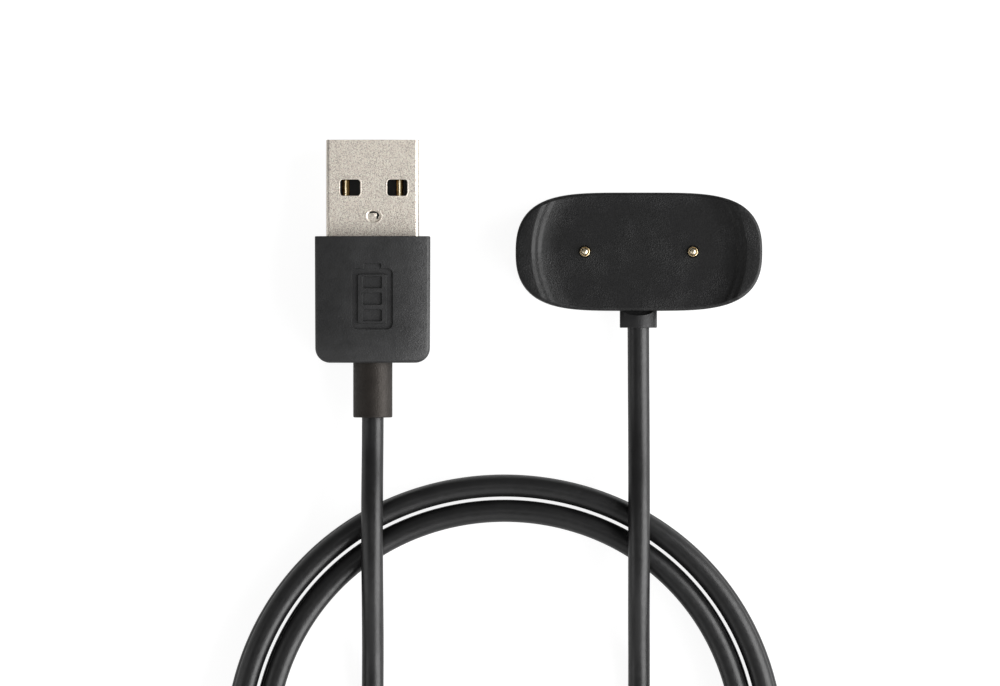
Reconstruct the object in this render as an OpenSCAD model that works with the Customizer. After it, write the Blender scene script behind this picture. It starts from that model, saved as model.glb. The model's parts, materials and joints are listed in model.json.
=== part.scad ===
// Charging cable of a fitness tracker: a contact head, a cord and a USB-A plug, laid flat on a table.
// The head lies on its back, centred on the origin, its contacts up, and the cord leaves it along -Y.

/* [Charging head] */
// Width of the head across its two contacts
head_w = 31.9; // [30.5:0.1:36]
// Depth of the head, front to back on the table
head_d = 15.3; // [14:0.1:19]
// Height of the head at its raised ends
head_t = 7.4; // [7:0.1:9]
// Squareness of the head's outline, where 2 is an ellipse
head_squareness = 3.3; // [2.9:0.1:4.5]
// Thickness of the side wall of both head shells
head_wall = 1.2; // [1:0.05:1.4]
// Thickness of the back wall
back_t = 1.2; // [0.8:0.1:1.4]
// Chamfer along the outer edges of the head
head_edge = 0.4; // [0.2:0.05:0.6]
// Height of the tongue that locates the cover on the back shell
lip_h = 0.5; // [0.3:0.1:0.8]
// Thickness of that tongue
lip_t = 0.5; // [0.4:0.05:0.6]

/* [Round seat] */
// Diameter of the round seat that takes the tracker's back
seat_d = 27.8; // [26:0.1:29]
// Depth of each of the two steps of the seat
seat_step_h = 0.5; // [0.3:0.05:0.6]
// Width of the slope at each step
seat_slope_w = 0.4; // [0.2:0.05:0.6]
// Width of the ledge between the two steps
seat_ledge_w = 0.45; // [0.3:0.05:0.8]
// Thickness of the cover under the seat
seat_t = 1.2; // [1:0.05:1.5]

/* [Spring contacts] */
// Distance between the two contacts
contact_pitch = 14; // [12:0.1:14.4]
// Outside diameter of a contact's barrel
barrel_d = 1.4; // [1.3:0.05:1.6]
// Wall thickness of the barrel
barrel_wall = 0.15; // [0.1:0.01:0.2]
// Thickness of the barrel's lip, which keeps the plunger in
barrel_lip = 0.25; // [0.15:0.05:0.35]
// Thickness of the floor inside the barrel, over its foot flange
barrel_floor = 0.1; // [0.05:0.05:0.3]
// Height of the barrel's rim over the floor of the seat
barrel_stand = 0.1; // [0.05:0.05:0.3]
// Diameter of the moving plunger where it leaves the barrel
plunger_d = 0.9; // [0.8:0.02:0.92]
// Height of the plunger's tip over the floor of the seat
plunger_stand = 0.9; // [0.9:0.05:1.2]
// Travel of the plunger
plunger_travel = 0.7; // [0.4:0.05:0.75]
// Length of the plunger's guide inside the barrel
plunger_guide_l = 0.8; // [0.6:0.05:0.9]
// Diameter of the barrel's foot flange
foot_d = 2; // [1.8:0.1:2.4]
// Thickness of the barrel's foot flange
foot_t = 0.3; // [0.2:0.05:0.4]
// Diameter of the barrel's solder tail
tail_d = 0.7; // [0.5:0.05:0.8]
// Length of the solder tail under the contact board
tail_out = 0.4; // [0.3:0.05:0.6]

/* [Inside the head] */
// Width of the contact board
board_w = 17.4; // [16.8:0.1:17.6]
// Depth of the contact board
board_d = 7; // [6.4:0.1:8]
// Thickness of the contact board
board_t = 0.8; // [0.6:0.1:0.9]
// Height of the posts that carry the board
board_post_h = 1; // [0.8:0.1:1.1]
// Diameter of those posts
board_post_d = 1.6; // [1.2:0.1:2]
// Distance from the middle of the cover's posts that press on the board
press_x = 5; // [4.8:0.1:5.2]
// Diameter of those posts
press_d = 1.2; // [1:0.1:1.4]
// Distance between a magnet and the inside of the head's side wall
magnet_wall_room = 1.15; // [0.95:0.05:1.25]
// Distance between a magnet and the contact beside it
magnet_pin_room = 1.5; // [1.2:0.05:1.9]
// Depth of a magnet
magnet_d = 7.6; // [6:0.1:8]
// Thickness of a magnet
magnet_t = 1.9; // [1.5:0.1:2]
// Thickness of the ribs around each magnet
magnet_rib_t = 0.5; // [0.4:0.05:0.6]
// Distance of each wire's pad from the middle of the board, across the head
wire_pad_x = 3; // [2.6:0.1:3.4]
// Distance of each wire's pad from the middle of the board, towards the cord
wire_pad_y = 1.8; // [1.6:0.1:2]
// Length of a wire that lies straight on its pad
wire_flat = 0.8; // [0.6:0.05:0.9]

/* [Collar on the head] */
// Width of the collar where the cord leaves the head
collar_w = 4.7; // [4:0.1:6]
// Length of the collar outside the head
collar_l = 2.2; // [1.6:0.1:2.4]
// Thickness of the collar's two flat wings
collar_t = 2.2; // [1.6:0.1:2.8]
// Diameter of the collar's round middle and of its neck in the wall
collar_neck_d = 3.2; // [3:0.1:3.6]
// Width of the flange that holds the collar inside the wall
collar_flange_w = 5; // [4.2:0.1:6]
// Height of that flange
collar_flange_h = 3.7; // [3.4:0.1:3.8]
// Thickness of that flange
collar_flange_t = 1; // [0.7:0.1:1.2]

/* [Plug] */
// Width of the plug's metal shell
shell_w = 12; // [11.9:0.05:12.1]
// Thickness of the plug's metal shell, outside
shell_h = 4.5; // [4.4:0.05:4.6]
// Length of the whole metal shell
shell_l = 18.6; // [18.4:0.1:19]
// Length of the shell that shows
shell_out = 12.5; // [11.8:0.1:12.8]
// Thickness of the shell's sheet metal
shell_t = 0.3; // [0.25:0.01:0.35]
// Outside radius of the shell's long edges
shell_edge_r = 0.45; // [0.4:0.05:0.7]
// Width of each latch window
window_w = 2.6; // [2.4:0.05:2.8]
// Length of each latch window
window_l = 2.1; // [1.9:0.05:2.3]
// Distance between the two windows of one face
window_pitch = 6.1; // [5.9:0.05:6.3]
// Distance of the windows' centre from the tip
window_from_tip = 6.2; // [6:0.05:6.4]
// Corner radius of a window
window_r = 0.4; // [0.2:0.05:0.6]
// Diameter of the clinch hole
clinch_d = 1.9; // [1.6:0.05:2]
// Distance of the clinch hole from the tip
clinch_from_tip = 9.9; // [9.8:0.05:10.2]
// Angle by which the clinch tab is bent in
clinch_angle = 17; // [12:1:20]
// Free space around the clinch tab
clinch_room = 0.2; // [0.15:0.05:0.3]
// Thickness of the tongue under the contact strips
tongue_t = 1.9; // [1.8:0.02:1.94]
// Distance of the tongue's front end from the tip
tongue_back = 0.4; // [0.2:0.05:0.6]
// Depth of the plug's mouth, from the tip to the rear block
mouth_l = 9.3; // [9:0.05:9.5]
// Distance of the insulator's rear end inside the shell's rear end
insulator_short = 0.5; // [0.3:0.1:0.8]
// Width of a contact strip
strip_w = 1; // [0.9:0.05:1.1]
// Thickness of a contact strip
strip_t = 0.2; // [0.15:0.01:0.25]
// Distance of the outer strips from the middle
outer_strip_x = 3.5; // [3.4:0.05:3.6]
// Distance of the inner strips from the middle
inner_strip_x = 1; // [0.9:0.05:1.1]
// Distance of the outer strips' front end from the tip
outer_strip_back = 1.2; // [1:0.1:1.6]
// Distance of the inner strips' front end from the tip
inner_strip_back = 2.2; // [2:0.1:2.6]
// Length of each strip's solder tail behind the insulator
strip_tail_l = 2.3; // [1.8:0.1:2.6]

/* [Grip] */
// Width of the grip
grip_w = 14.9; // [14.6:0.1:16]
// Thickness of the grip
grip_t = 7.6; // [7.2:0.1:8.4]
// Length of the grip
grip_l = 16.4; // [16:0.1:19]
// Radius of the grip's two rear corners
grip_corner_r = 1.9; // [1.4:0.1:2.4]
// Radius of the grip's long edges
grip_edge_r = 0.8; // [0.5:0.1:1.1]
// Thickness of the grip's front wall around the shell
grip_front_t = 1; // [0.8:0.1:1.4]
// Width of the inner mould
mould_w = 13; // [12.8:0.1:13.2]
// Thickness of the inner mould
mould_t = 5.6; // [5.4:0.1:5.8]
// Radius of the inner mould's long edges
mould_edge_r = 0.5; // [0.3:0.1:0.8]
// Length of the inner mould
mould_l = 11; // [10.8:0.1:11.4]
// Wall of the inner mould around the solder chamber
mould_wall = 1; // [0.8:0.1:1.2]
// Width of the battery mark sunk in the grip
mark_w = 5.2; // [4:0.1:6]
// Height of the battery mark's body
mark_l = 7.8; // [6:0.1:9]
// Width of the nub on top of the mark
mark_nub_w = 2.2; // [1.6:0.1:3]
// Width of the mark's lines
mark_line = 0.7; // [0.5:0.05:0.9]
// Depth of the mark
mark_deep = 0.2; // [0.1:0.05:0.3]
// Distance of the mark's centre from the front of the grip
mark_from_front = 8.1; // [7:0.1:9]
// Number of level bars in the mark
mark_bars = 3; // [2:1:4]

/* [Plug strain relief] */
// Diameter of the plug's strain relief
relief_d = 5.1; // [4.4:0.1:5.6]
// Length of the strain relief outside the grip
relief_out = 7.1; // [5:0.1:9]
// Diameter of the flange that holds it in the grip
relief_flange_d = 6.4; // [6:0.1:7]
// Thickness of that flange
relief_flange_t = 1.2; // [0.8:0.1:1.6]

/* [Cord] */
// Outside diameter of the cord
cord_d = 2.8; // [2.6:0.05:2.8]
// Outside diameter of one insulated conductor
wire_d = 0.9; // [0.7:0.05:1]
// Diameter of a run of solder
solder_d = 0.7; // [0.5:0.05:0.8]

/* [Coil] */
// Radius of the coil's inner turns, at the middle of the cord
coil_r = 31.45; // [31:0.05:32]
// Distance between the inner and the outer turns
coil_pitch = 3.3; // [3:0.05:3.6]

/* [Fits] */
// Clearance of pieces that are pressed or moulded together
tight_gap = 0.02; // [0.01:0.01:0.03]
// Radial clearance of the plungers in their barrels
running_gap = 0.03; // [0.02:0.01:0.05]
// Clearance of pieces that are glued or clamped in place
seat_gap = 0.05; // [0.02:0.01:0.08]
// Gap between a barrel and its hole in the cover
barrel_gap = 0.1; // [0.08:0.01:0.2]

/* [Hidden] */
$fn = 64;
through = 1;           // how far a cutter runs past what it cuts
outline_steps = 96;    // points of the head's outline
tube_sides = 8;        // sides of the cord's and the wires' tubes

// Where the plug lies beside the head, and where the coil's centre is
plug_x = -34.5;
plug_tip_y = 14.5;
coil_x = -17.4;
coil_y = -65.1;

// Levels inside the head
ledge_z = head_t - seat_step_h;
seat_z = head_t - 2 * seat_step_h;
ceiling_z = seat_z - seat_t;
board_z = back_t + board_post_h;
board_top = board_z + board_t;
split_z = board_top + foot_t;
contact_x = contact_pitch / 2;

// The magnets fill the room between the contacts and the side walls
magnet_in = contact_x + barrel_d / 2 + magnet_pin_room;
magnet_out = head_w / 2 - head_wall - magnet_wall_room;
magnet_x = (magnet_in + magnet_out) / 2;
magnet_w = magnet_out - magnet_in;

// The contact pin's levels
barrel_top = seat_z + barrel_stand;
bore_d = barrel_d - 2 * barrel_wall;
bore_z = split_z + barrel_floor;
guide_top = barrel_top - barrel_lip;
guide_z = guide_top - running_gap - plunger_guide_l;
plunger_tip = seat_z + plunger_stand;

// The collar's levels
collar_y = -head_d / 2;
inner_wall_y = collar_y + head_wall;
wire_start_y = inner_wall_y + seat_gap + collar_flange_t;

// Each wire's distance from the middle of the cord, and its height on the board
wire_x = wire_d / 2 + seat_gap;
wire_z = board_top + wire_d / 2;

// The plug's levels: y is measured from the tip and z from the plug's middle
plug_z = grip_t / 2;
strip_z = -shell_h / 2 + shell_t + tongue_t;
insulator_l = shell_l - insulator_short;
grip_rear = shell_out + grip_l;
mould_front = shell_out + grip_front_t;
mould_rear = mould_front + mould_l;
relief_end = grip_rear + relief_out;
plug_wire_end = insulator_l + strip_tail_l - solder_d / 2;

// Route of the cord, outside its coil: chosen points from the plug and from the head
plug_route = [[-34.5, -21.5, 3.8], [-34.5, -26, 4.3], [-34.5, -30.5, 6], [-34.5, -35, 7.15],
    [-34.5, -39, 7.2], [-34.5, -43.5, 6.3], [-34.5, -48, 4.3], [-34.5, -52.5, 2.4],
    [-34.5, -58, 1.55], [-34.5, -65.5, 1.4], [-34.5, -73.5, 1.4], [-33.5, -79.8, 1.4],
    [-30.7, -85.7, 1.4], [-26.3, -90.5, 1.4], [-20.6, -93.8, 1.4], [-14.3, -95.2, 1.4],
    [-7.7, -94.7, 1.4]];
head_route = [[0, -9.85, 3.3], [0, -16, 3.2], [0, -21.5, 3.4], [0, -26, 4.3], [0, -30.5, 6],
    [0, -35, 7.15], [0, -39, 7.2], [0, -43.5, 6.3], [0, -48, 4.3], [0, -52.5, 2.4],
    [0, -58, 1.55], [0, -65, 1.4], [-0.8, -71.4, 1.4], [-3.3, -77.3, 1.4], [-7.1, -82.4, 1.7],
    [-12.2, -86.2, 2.7], [-18.1, -88.7, 3.8], [-24.4, -89.5, 4.3], [-30.7, -88.6, 4.4],
    [-36.5, -86.1, 4.3], [-41.6, -82.2, 4.2], [-45.5, -77.1, 4.2], [-48, -71.3, 4.2]];

// ---- shared shapes ----

// Points of the head's outline, drawn in by the given amount
function head_outline(inset) = [for (i = [0:outline_steps - 1])
    let (c = cos(360 * i / outline_steps), s = sin(360 * i / outline_steps), p = 2 / head_squareness)
    [(head_w / 2 - inset) * sign(c) * pow(abs(c), p), (head_d / 2 - inset) * sign(s) * pow(abs(s), p)]];

module head_prism(inset, z0, z1) {
    translate([0, 0, z0]) linear_extrude(z1 - z0) polygon(head_outline(inset));
}

// A chamfered end of a head shell: the full outline at z0 narrows to the edge chamfer's at z1
module head_chamfer(z0, z1) {
    n = outline_steps;
    lower = [for (p = head_outline(z0 < z1 ? 0 : head_edge)) [p[0], p[1], min(z0, z1)]];
    upper = [for (p = head_outline(z0 < z1 ? head_edge : 0)) [p[0], p[1], max(z0, z1)]];
    sides = [for (i = [0:n - 1]) each [[i, n + i, (i + 1) % n], [(i + 1) % n, n + i, n + (i + 1) % n]]];
    polyhedron(concat(lower, upper),
        concat([[for (i = [0:n - 1]) i]], sides, [[for (i = [n - 1:-1:0]) n + i]]));
}

module rounded_rect(w, h, r) {
    square([w - 2 * r, h], center = true);
    square([w, h - 2 * r], center = true);
    for (x = [-1, 1], y = [-1, 1])
        translate([x * (w / 2 - r), y * (h / 2 - r)]) circle(r);
}

// A box centred in x and y, between two heights
module box(w, d, z0, z1) {
    translate([-w / 2, -d / 2, z0]) cube([w, d, z1 - z0]);
}

// A run of solder along +Y from a point, with a round far end
module solder_run(start, length) {
    translate(start) rotate([-90, 0, 0]) cylinder(d = solder_d, h = length);
    translate(start + [0, length, 0]) sphere(d = solder_d);
}

function unit(v) = v / norm(v);

// The direction of a route at point i
function heading(route, i) =
    unit(route[min(i + 1, len(route) - 1)] - route[max(i - 1, 0)]);

// A ring of points around point i of a route, with a flat side down
function ring(route, i, d) =
    let (along = heading(route, i), side = unit(cross(along, [0, 0, 1])), up = cross(side, along))
    [for (k = [0:tube_sides - 1]) let (a = 360 * (k + 0.5) / tube_sides)
        route[i] + d / 2 * (cos(a) * side + sin(a) * up)];

// A tube along a route
module tube(route, d) {
    n = len(route);
    m = tube_sides;
    points = [for (i = [0:n - 1]) each ring(route, i, d)];
    sides = [for (i = [0:n - 2], k = [0:m - 1])
        [m * i + k, m * i + (k + 1) % m, m * i + m + (k + 1) % m, m * i + m + k]];
    ends = [[for (k = [m - 1:-1:0]) k], [for (k = [0:m - 1]) m * (n - 1) + k]];
    polyhedron(points, concat(sides, ends));
}

module at_plug() {
    translate([plug_x, plug_tip_y, plug_z]) children();
}

// A solid with the given outline in x and z, from y0 to y1 behind the plug's tip
module plug_prism(y0, y1) {
    translate([0, -y0, 0]) rotate([90, 0, 0]) linear_extrude(y1 - y0) children();
}

module plug_cylinder(d, y0, y1) {
    translate([0, -y0, 0]) rotate([90, 0, 0]) cylinder(d = d, h = y1 - y0);
}

// ---- charging head ----

// The hole for the collar's neck, half in each shell
module collar_hole() {
    translate([0, collar_y - through, split_z]) rotate([-90, 0, 0])
        cylinder(d = collar_neck_d + 2 * seat_gap, h = head_wall + 2 * through);
}

module head_back_shell() {
    color("#1d1d1f") difference() {
        union() {
            difference() {
                union() {
                    head_chamfer(head_edge, 0);
                    head_prism(0, head_edge, split_z);
                    head_prism(head_wall - lip_t, split_z, split_z + lip_h);
                }
                head_prism(head_wall, back_t, split_z + lip_h + through);
            }
            // posts under the board
            for (x = [-1, 1], y = [-1, 1])
                translate([x * (board_w / 2 - board_post_d), y * (board_d / 2 - board_post_d), 0])
                    translate([0, 0, back_t / 2]) cylinder(d = board_post_d, h = board_z - back_t / 2);
            // pads that hold the magnets up against the cover
            for (x = [-1, 1])
                translate([x * magnet_x, 0, 0])
                    box(magnet_w / 2, magnet_d / 2, back_t / 2, ceiling_z - magnet_t - seat_gap);
        }
        collar_hole();
    }
}

// Ribs that hold one magnet by its sides
module magnet_rib() {
    difference() {
        box(magnet_w + 2 * magnet_rib_t, magnet_d + 2 * magnet_rib_t,
            ceiling_z - 0.8 * magnet_t, seat_z - seat_t / 2);
        box(magnet_w + 2 * seat_gap, magnet_d + 2 * seat_gap, split_z, ceiling_z);
    }
}

// What the round seat takes away
module seat_cut() {
    r1 = seat_d / 2;
    r2 = r1 - seat_slope_w - seat_ledge_w;
    rotate_extrude($fn = 128) polygon([[0, seat_z], [r2 - seat_slope_w, seat_z], [r2, ledge_z],
        [r1 - seat_slope_w, ledge_z], [r1, head_t], [r1, head_t + through], [0, head_t + through]]);
}

module head_front_cover() {
    color("#222224") difference() {
        union() {
            difference() {
                union() {
                    head_prism(0, split_z, head_t - head_edge);
                    head_chamfer(head_t - head_edge, head_t);
                }
                head_prism(head_wall, split_z - through, ceiling_z);
                head_prism(head_wall - lip_t - seat_gap, split_z - through, split_z + lip_h + seat_gap);
            }
            intersection() {
                for (x = [-1, 1]) translate([x * magnet_x, 0, 0]) magnet_rib();
                head_prism(head_wall / 2, split_z + lip_h + seat_gap, head_t);
            }
            // posts that press on the board
            for (x = [-1, 1], y = [-1, 1])
                translate([x * press_x, y * (board_d / 2 - board_post_d), board_top])
                    cylinder(d = press_d, h = seat_z - seat_t / 2 - board_top);
        }
        seat_cut();
        collar_hole();
        for (x = [-1, 1])
            translate([x * contact_x, 0, ceiling_z - through])
                cylinder(d = barrel_d + 2 * barrel_gap, h = seat_t + 2 * through);
    }
}

// ---- spring contacts ----

module pogo_barrel(side) {
    mouth_d = plunger_d + 2 * running_gap;
    color("#d8b25a") translate([side * contact_x, 0, 0]) rotate_extrude()
        polygon([[0, board_z - tail_out], [tail_d / 2, board_z - tail_out], [tail_d / 2, board_top],
            [foot_d / 2, board_top], [foot_d / 2, split_z], [barrel_d / 2, split_z],
            [barrel_d / 2, barrel_top], [mouth_d / 2, barrel_top], [mouth_d / 2, guide_top],
            [bore_d / 2, guide_top], [bore_d / 2, bore_z], [0, bore_z]]);
}

module pogo_plunger(side) {
    color("#e2bd62") translate([side * contact_x, 0, 0]) {
        translate([0, 0, guide_z]) cylinder(d = bore_d - 2 * running_gap, h = plunger_guide_l);
        translate([0, 0, guide_z]) cylinder(d = plunger_d, h = plunger_tip - plunger_d / 2 - guide_z);
        translate([0, 0, plunger_tip - plunger_d / 2]) sphere(d = plunger_d);
    }
}

// The closed outer shape of the coil spring, between the barrel's floor and the plunger
module pogo_spring(side) {
    spring_d = bore_d - 2 * running_gap;
    color("#b9bcc0") translate([side * contact_x, 0, bore_z]) difference() {
        cylinder(d = spring_d, h = guide_z - bore_z);
        translate([0, 0, -through]) cylinder(d = spring_d / 2, h = guide_z - bore_z + 2 * through);
    }
}

module magnet(side) {
    color("#a9abb0") translate([side * magnet_x, 0, 0])
        box(magnet_w, magnet_d, ceiling_z - magnet_t, ceiling_z);
}

module contact_board() {
    color("#1f5a3a") difference() {
        box(board_w, board_d, board_z, board_top);
        for (x = [-1, 1])
            translate([x * contact_x, 0, board_z - through])
                cylinder(d = tail_d + 2 * seat_gap, h = board_t + 2 * through);
    }
}

module head_solder_joints() {
    color("#b5b7ba") {
        for (x = [-1, 1]) {
            // a run of solder from the wire's end along its pad
            solder_run([x * wire_pad_x, -wire_pad_y, board_top + solder_d / 2], 1.5 * solder_d);
            // a fillet of solder around the barrel's tail
            translate([x * contact_x, 0, board_z]) rotate_extrude()
                polygon([[tail_d / 2 + tight_gap, 0], [tail_d, 0], [tail_d / 2 + 2 * tight_gap, -tail_out],
                    [tail_d / 2 + tight_gap, -tail_out]]);
        }
    }
}

module head_wire(side) {
    tube([[side * wire_x, wire_start_y, split_z], [side * wire_x, wire_start_y + wire_d / 3, split_z],
        [side * 2 * wire_x, wire_start_y + wire_d, (split_z + wire_z) / 2],
        [side * (wire_pad_x - wire_flat), -wire_pad_y - 2 * wire_flat, wire_z],
        [side * wire_pad_x, -wire_pad_y - wire_flat, wire_z],
        [side * wire_pad_x, -wire_pad_y, wire_z]], wire_d);
}

module head_cord_collar() {
    color("#2a2a2b") translate([0, 0, split_z]) {
        translate([-collar_w / 2, collar_y - collar_l, -collar_t / 2]) cube([collar_w, collar_l, collar_t]);
        translate([0, collar_y - collar_l, 0]) rotate([-90, 0, 0])
            cylinder(d = collar_neck_d, h = collar_l + head_wall + seat_gap + collar_flange_t);
        translate([-collar_flange_w / 2, inner_wall_y + seat_gap, -collar_flange_h / 2])
            cube([collar_flange_w, collar_flange_t, collar_flange_h]);
    }
}

// ---- plug ----

module usb_shell() {
    color("#c3bcb4") at_plug() {
        difference() {
            plug_prism(0, shell_l) rounded_rect(shell_w, shell_h, shell_edge_r);
            plug_prism(-through, shell_l + through) shell_inside(0);
            for (x = [-1, 1])
                translate([x * window_pitch / 2, -window_from_tip, -shell_h / 2 - through])
                    linear_extrude(shell_h + 2 * through) rounded_rect(window_w, window_l, window_r);
            translate([0, -clinch_from_tip, 0]) cylinder(d = clinch_d, h = shell_h / 2 + through);
        }
        clinch_tab();
    }
}

// The tab of sheet metal that is bent in at the clinch hole, hinged at the hole's rear edge
module clinch_tab() {
    tab_w = clinch_d - clinch_room;
    root_l = shell_t / 2;
    translate([0, -clinch_from_tip - clinch_d / 2, shell_h / 2 - shell_t / 4]) rotate([-clinch_angle, 0, 0])
        translate([0, 0, -shell_t]) {
            translate([-tab_w / 2, -root_l, 0]) cube([tab_w, root_l + tab_w / 2, shell_t]);
            translate([0, tab_w / 2, 0]) cylinder(d = tab_w, h = shell_t);
        }
}

// The outline of what fills the shell, in x and z
module shell_inside(gap) {
    rounded_rect(shell_w - 2 * shell_t - 2 * gap, shell_h - 2 * shell_t - 2 * gap, shell_edge_r - shell_t);
}

// The outline of the hole that takes the shell
module shell_seat() {
    rounded_rect(shell_w + 2 * tight_gap, shell_h + 2 * tight_gap, shell_edge_r + tight_gap);
}

// The slot of one contact strip, along the whole insulator
module strip_slot(x) {
    translate([x - strip_w / 2 - tight_gap, -insulator_l - through, strip_z - strip_t - tight_gap])
        cube([strip_w + 2 * tight_gap, insulator_l + 2 * through, strip_t + 2 * tight_gap]);
}

module usb_insulator() {
    color("#141415") at_plug() difference() {
        union() {
            intersection() {
                plug_prism(tongue_back, insulator_l) shell_inside(seat_gap);
                translate([-shell_w / 2, -shell_l, strip_z - shell_h]) cube([shell_w, shell_l, shell_h]);
            }
            plug_prism(mouth_l, insulator_l) shell_inside(seat_gap);
        }
        for (x = [outer_strip_x, inner_strip_x], side = [-1, 1]) strip_slot(side * x);
        // room for the clinch tab, from under its bent end
        translate([0, -clinch_from_tip, shell_h / 2 - shell_t * 2 - clinch_d * sin(clinch_angle)])
            cylinder(d = clinch_d + 2 * clinch_room, h = shell_h);
    }
}

module usb_contact(x, back) {
    color("#d9b04f") at_plug() translate([x - strip_w / 2, -insulator_l - strip_tail_l, strip_z - strip_t])
        cube([strip_w, insulator_l + strip_tail_l - back, strip_t]);
}

module usb_solder_joints() {
    color("#b5b7ba") at_plug() for (x = [-1, 1])
        solder_run([x * outer_strip_x, -plug_wire_end, strip_z + solder_d / 2], 2 * solder_d);
}

module usb_wire(side) {
    z = strip_z + wire_d / 2;
    at_plug() tube([[side * wire_x, -mould_rear, 0], [side * wire_x, -mould_rear + mould_wall, 0],
        [side * (outer_strip_x - wire_d), -plug_wire_end - 2 * wire_flat, z],
        [side * outer_strip_x, -plug_wire_end - wire_flat, z],
        [side * outer_strip_x, -plug_wire_end, z]], wire_d);
}

module usb_inner_mould() {
    color("#d9d6cc") at_plug() difference() {
        plug_prism(mould_front, mould_rear) rounded_rect(mould_w, mould_t, mould_edge_r);
        // the shell's seat
        plug_prism(mould_front - through, shell_l) shell_seat();
        // the chamber around the solder joints
        plug_prism(mould_front, mould_rear - mould_wall) shell_inside(0);
        // the way out for the two wires
        plug_prism(mould_front, mould_rear + through)
            rounded_rect(4 * wire_x + 2 * seat_gap, 1.5 * wire_d, wire_d / 2);
    }
}

// The battery mark, as a drawing around its own middle
module battery_mark() {
    room_l = mark_l - 2 * mark_line;
    bar_step = room_l / mark_bars;
    difference() {
        rounded_rect(mark_w, mark_l, mark_line);
        rounded_rect(mark_w - 2 * mark_line, room_l, mark_line / 3);
    }
    translate([-mark_nub_w / 2, mark_l / 2 - mark_line / 2]) square([mark_nub_w, 1.5 * mark_line]);
    for (i = [0:mark_bars - 1])
        translate([0, -room_l / 2 + (i + 0.5) * bar_step])
            square([mark_w - 4 * mark_line, bar_step - mark_line], center = true);
}

// A rectangle from the tip to the rear of the grip, with its two rear corners rounded
module round_ended(w, r) {
    translate([-w / 2, -grip_rear + r]) square([w, grip_rear - r]);
    translate([-w / 2 + r, -grip_rear]) square([w - 2 * r, grip_rear]);
    for (x = [-1, 1]) translate([x * (w / 2 - r), -grip_rear + r]) circle(r);
}

module usb_grip() {
    color("#2b2b2c") at_plug() difference() {
        intersection() {
            plug_prism(shell_out, grip_rear) rounded_rect(grip_w, grip_t, grip_edge_r);
            // seen from above, with its two round rear corners
            translate([0, 0, -grip_t]) linear_extrude(2 * grip_t) round_ended(grip_w, grip_corner_r);
            // seen from the side, with its two rear edges rounded
            translate([-grip_w, 0, 0]) rotate([0, 90, 0]) linear_extrude(2 * grip_w)
                round_ended(grip_t, grip_edge_r);
        }
        plug_prism(shell_out - through, mould_rear) shell_seat();
        plug_prism(mould_front, mould_rear) rounded_rect(mould_w, mould_t, mould_edge_r);
        plug_cylinder(relief_flange_d + 2 * seat_gap, mould_front, mould_rear + relief_flange_t);
        plug_cylinder(relief_d + 2 * seat_gap, mould_rear, grip_rear + through);
        translate([0, -shell_out - mark_from_front, grip_t / 2 - mark_deep])
            linear_extrude(mark_deep + through) battery_mark();
    }
}

module usb_strain_relief() {
    color("#333130") at_plug() {
        plug_cylinder(relief_flange_d, mould_rear, mould_rear + relief_flange_t);
        plug_cylinder(relief_d, mould_rear, relief_end);
    }
}

// ---- cord ----

// The closed outer shape of the coil: two turns beside each other in each of two layers
module cord_coil() {
    color("#343436") translate([coil_x, coil_y, cord_d]) rotate_extrude($fn = 128)
        translate([coil_r + coil_pitch / 2, 0]) rounded_rect(coil_pitch + cord_d, 2 * cord_d, cord_d / 2);
}

head_back_shell();
head_front_cover();
pogo_barrel(-1);  // pogo_barrel_left
pogo_barrel(1);  // pogo_barrel_right
pogo_plunger(-1);  // pogo_plunger_left
pogo_plunger(1);  // pogo_plunger_right
pogo_spring(-1);  // pogo_spring_left
pogo_spring(1);  // pogo_spring_right
magnet(-1);  // magnet_left
magnet(1);  // magnet_right
contact_board();
head_solder_joints();
color("#b3302a") head_wire(-1);  // head_wire_red
color("#18181a") head_wire(1);  // head_wire_black
head_cord_collar();
usb_shell();
usb_insulator();
usb_contact(-outer_strip_x, outer_strip_back);  // usb_contact_power
usb_contact(-inner_strip_x, inner_strip_back);  // usb_contact_data_minus
usb_contact(inner_strip_x, inner_strip_back);  // usb_contact_data_plus
usb_contact(outer_strip_x, outer_strip_back);  // usb_contact_ground
usb_solder_joints();
color("#b3302a") usb_wire(-1);  // usb_wire_red
color("#18181a") usb_wire(1);  // usb_wire_black
usb_inner_mould();
usb_grip();
usb_strain_relief();
color("#343436") tube(plug_route, cord_d);  // cord_plug_end
color("#343436") tube(head_route, cord_d);  // cord_head_end
cord_coil();
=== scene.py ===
# Charging cable of a fitness tracker: the dressed model, its materials and its photograph stage.
# Shapes are worked out in millimetres and turned into metres as each piece is finished.

import json
import math

import bmesh
import bpy
import numpy as np
from bpy.props import FloatProperty, FloatVectorProperty, IntProperty, PointerProperty
from mathutils import Matrix, Vector
from mathutils.bvhtree import BVHTree

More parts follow.
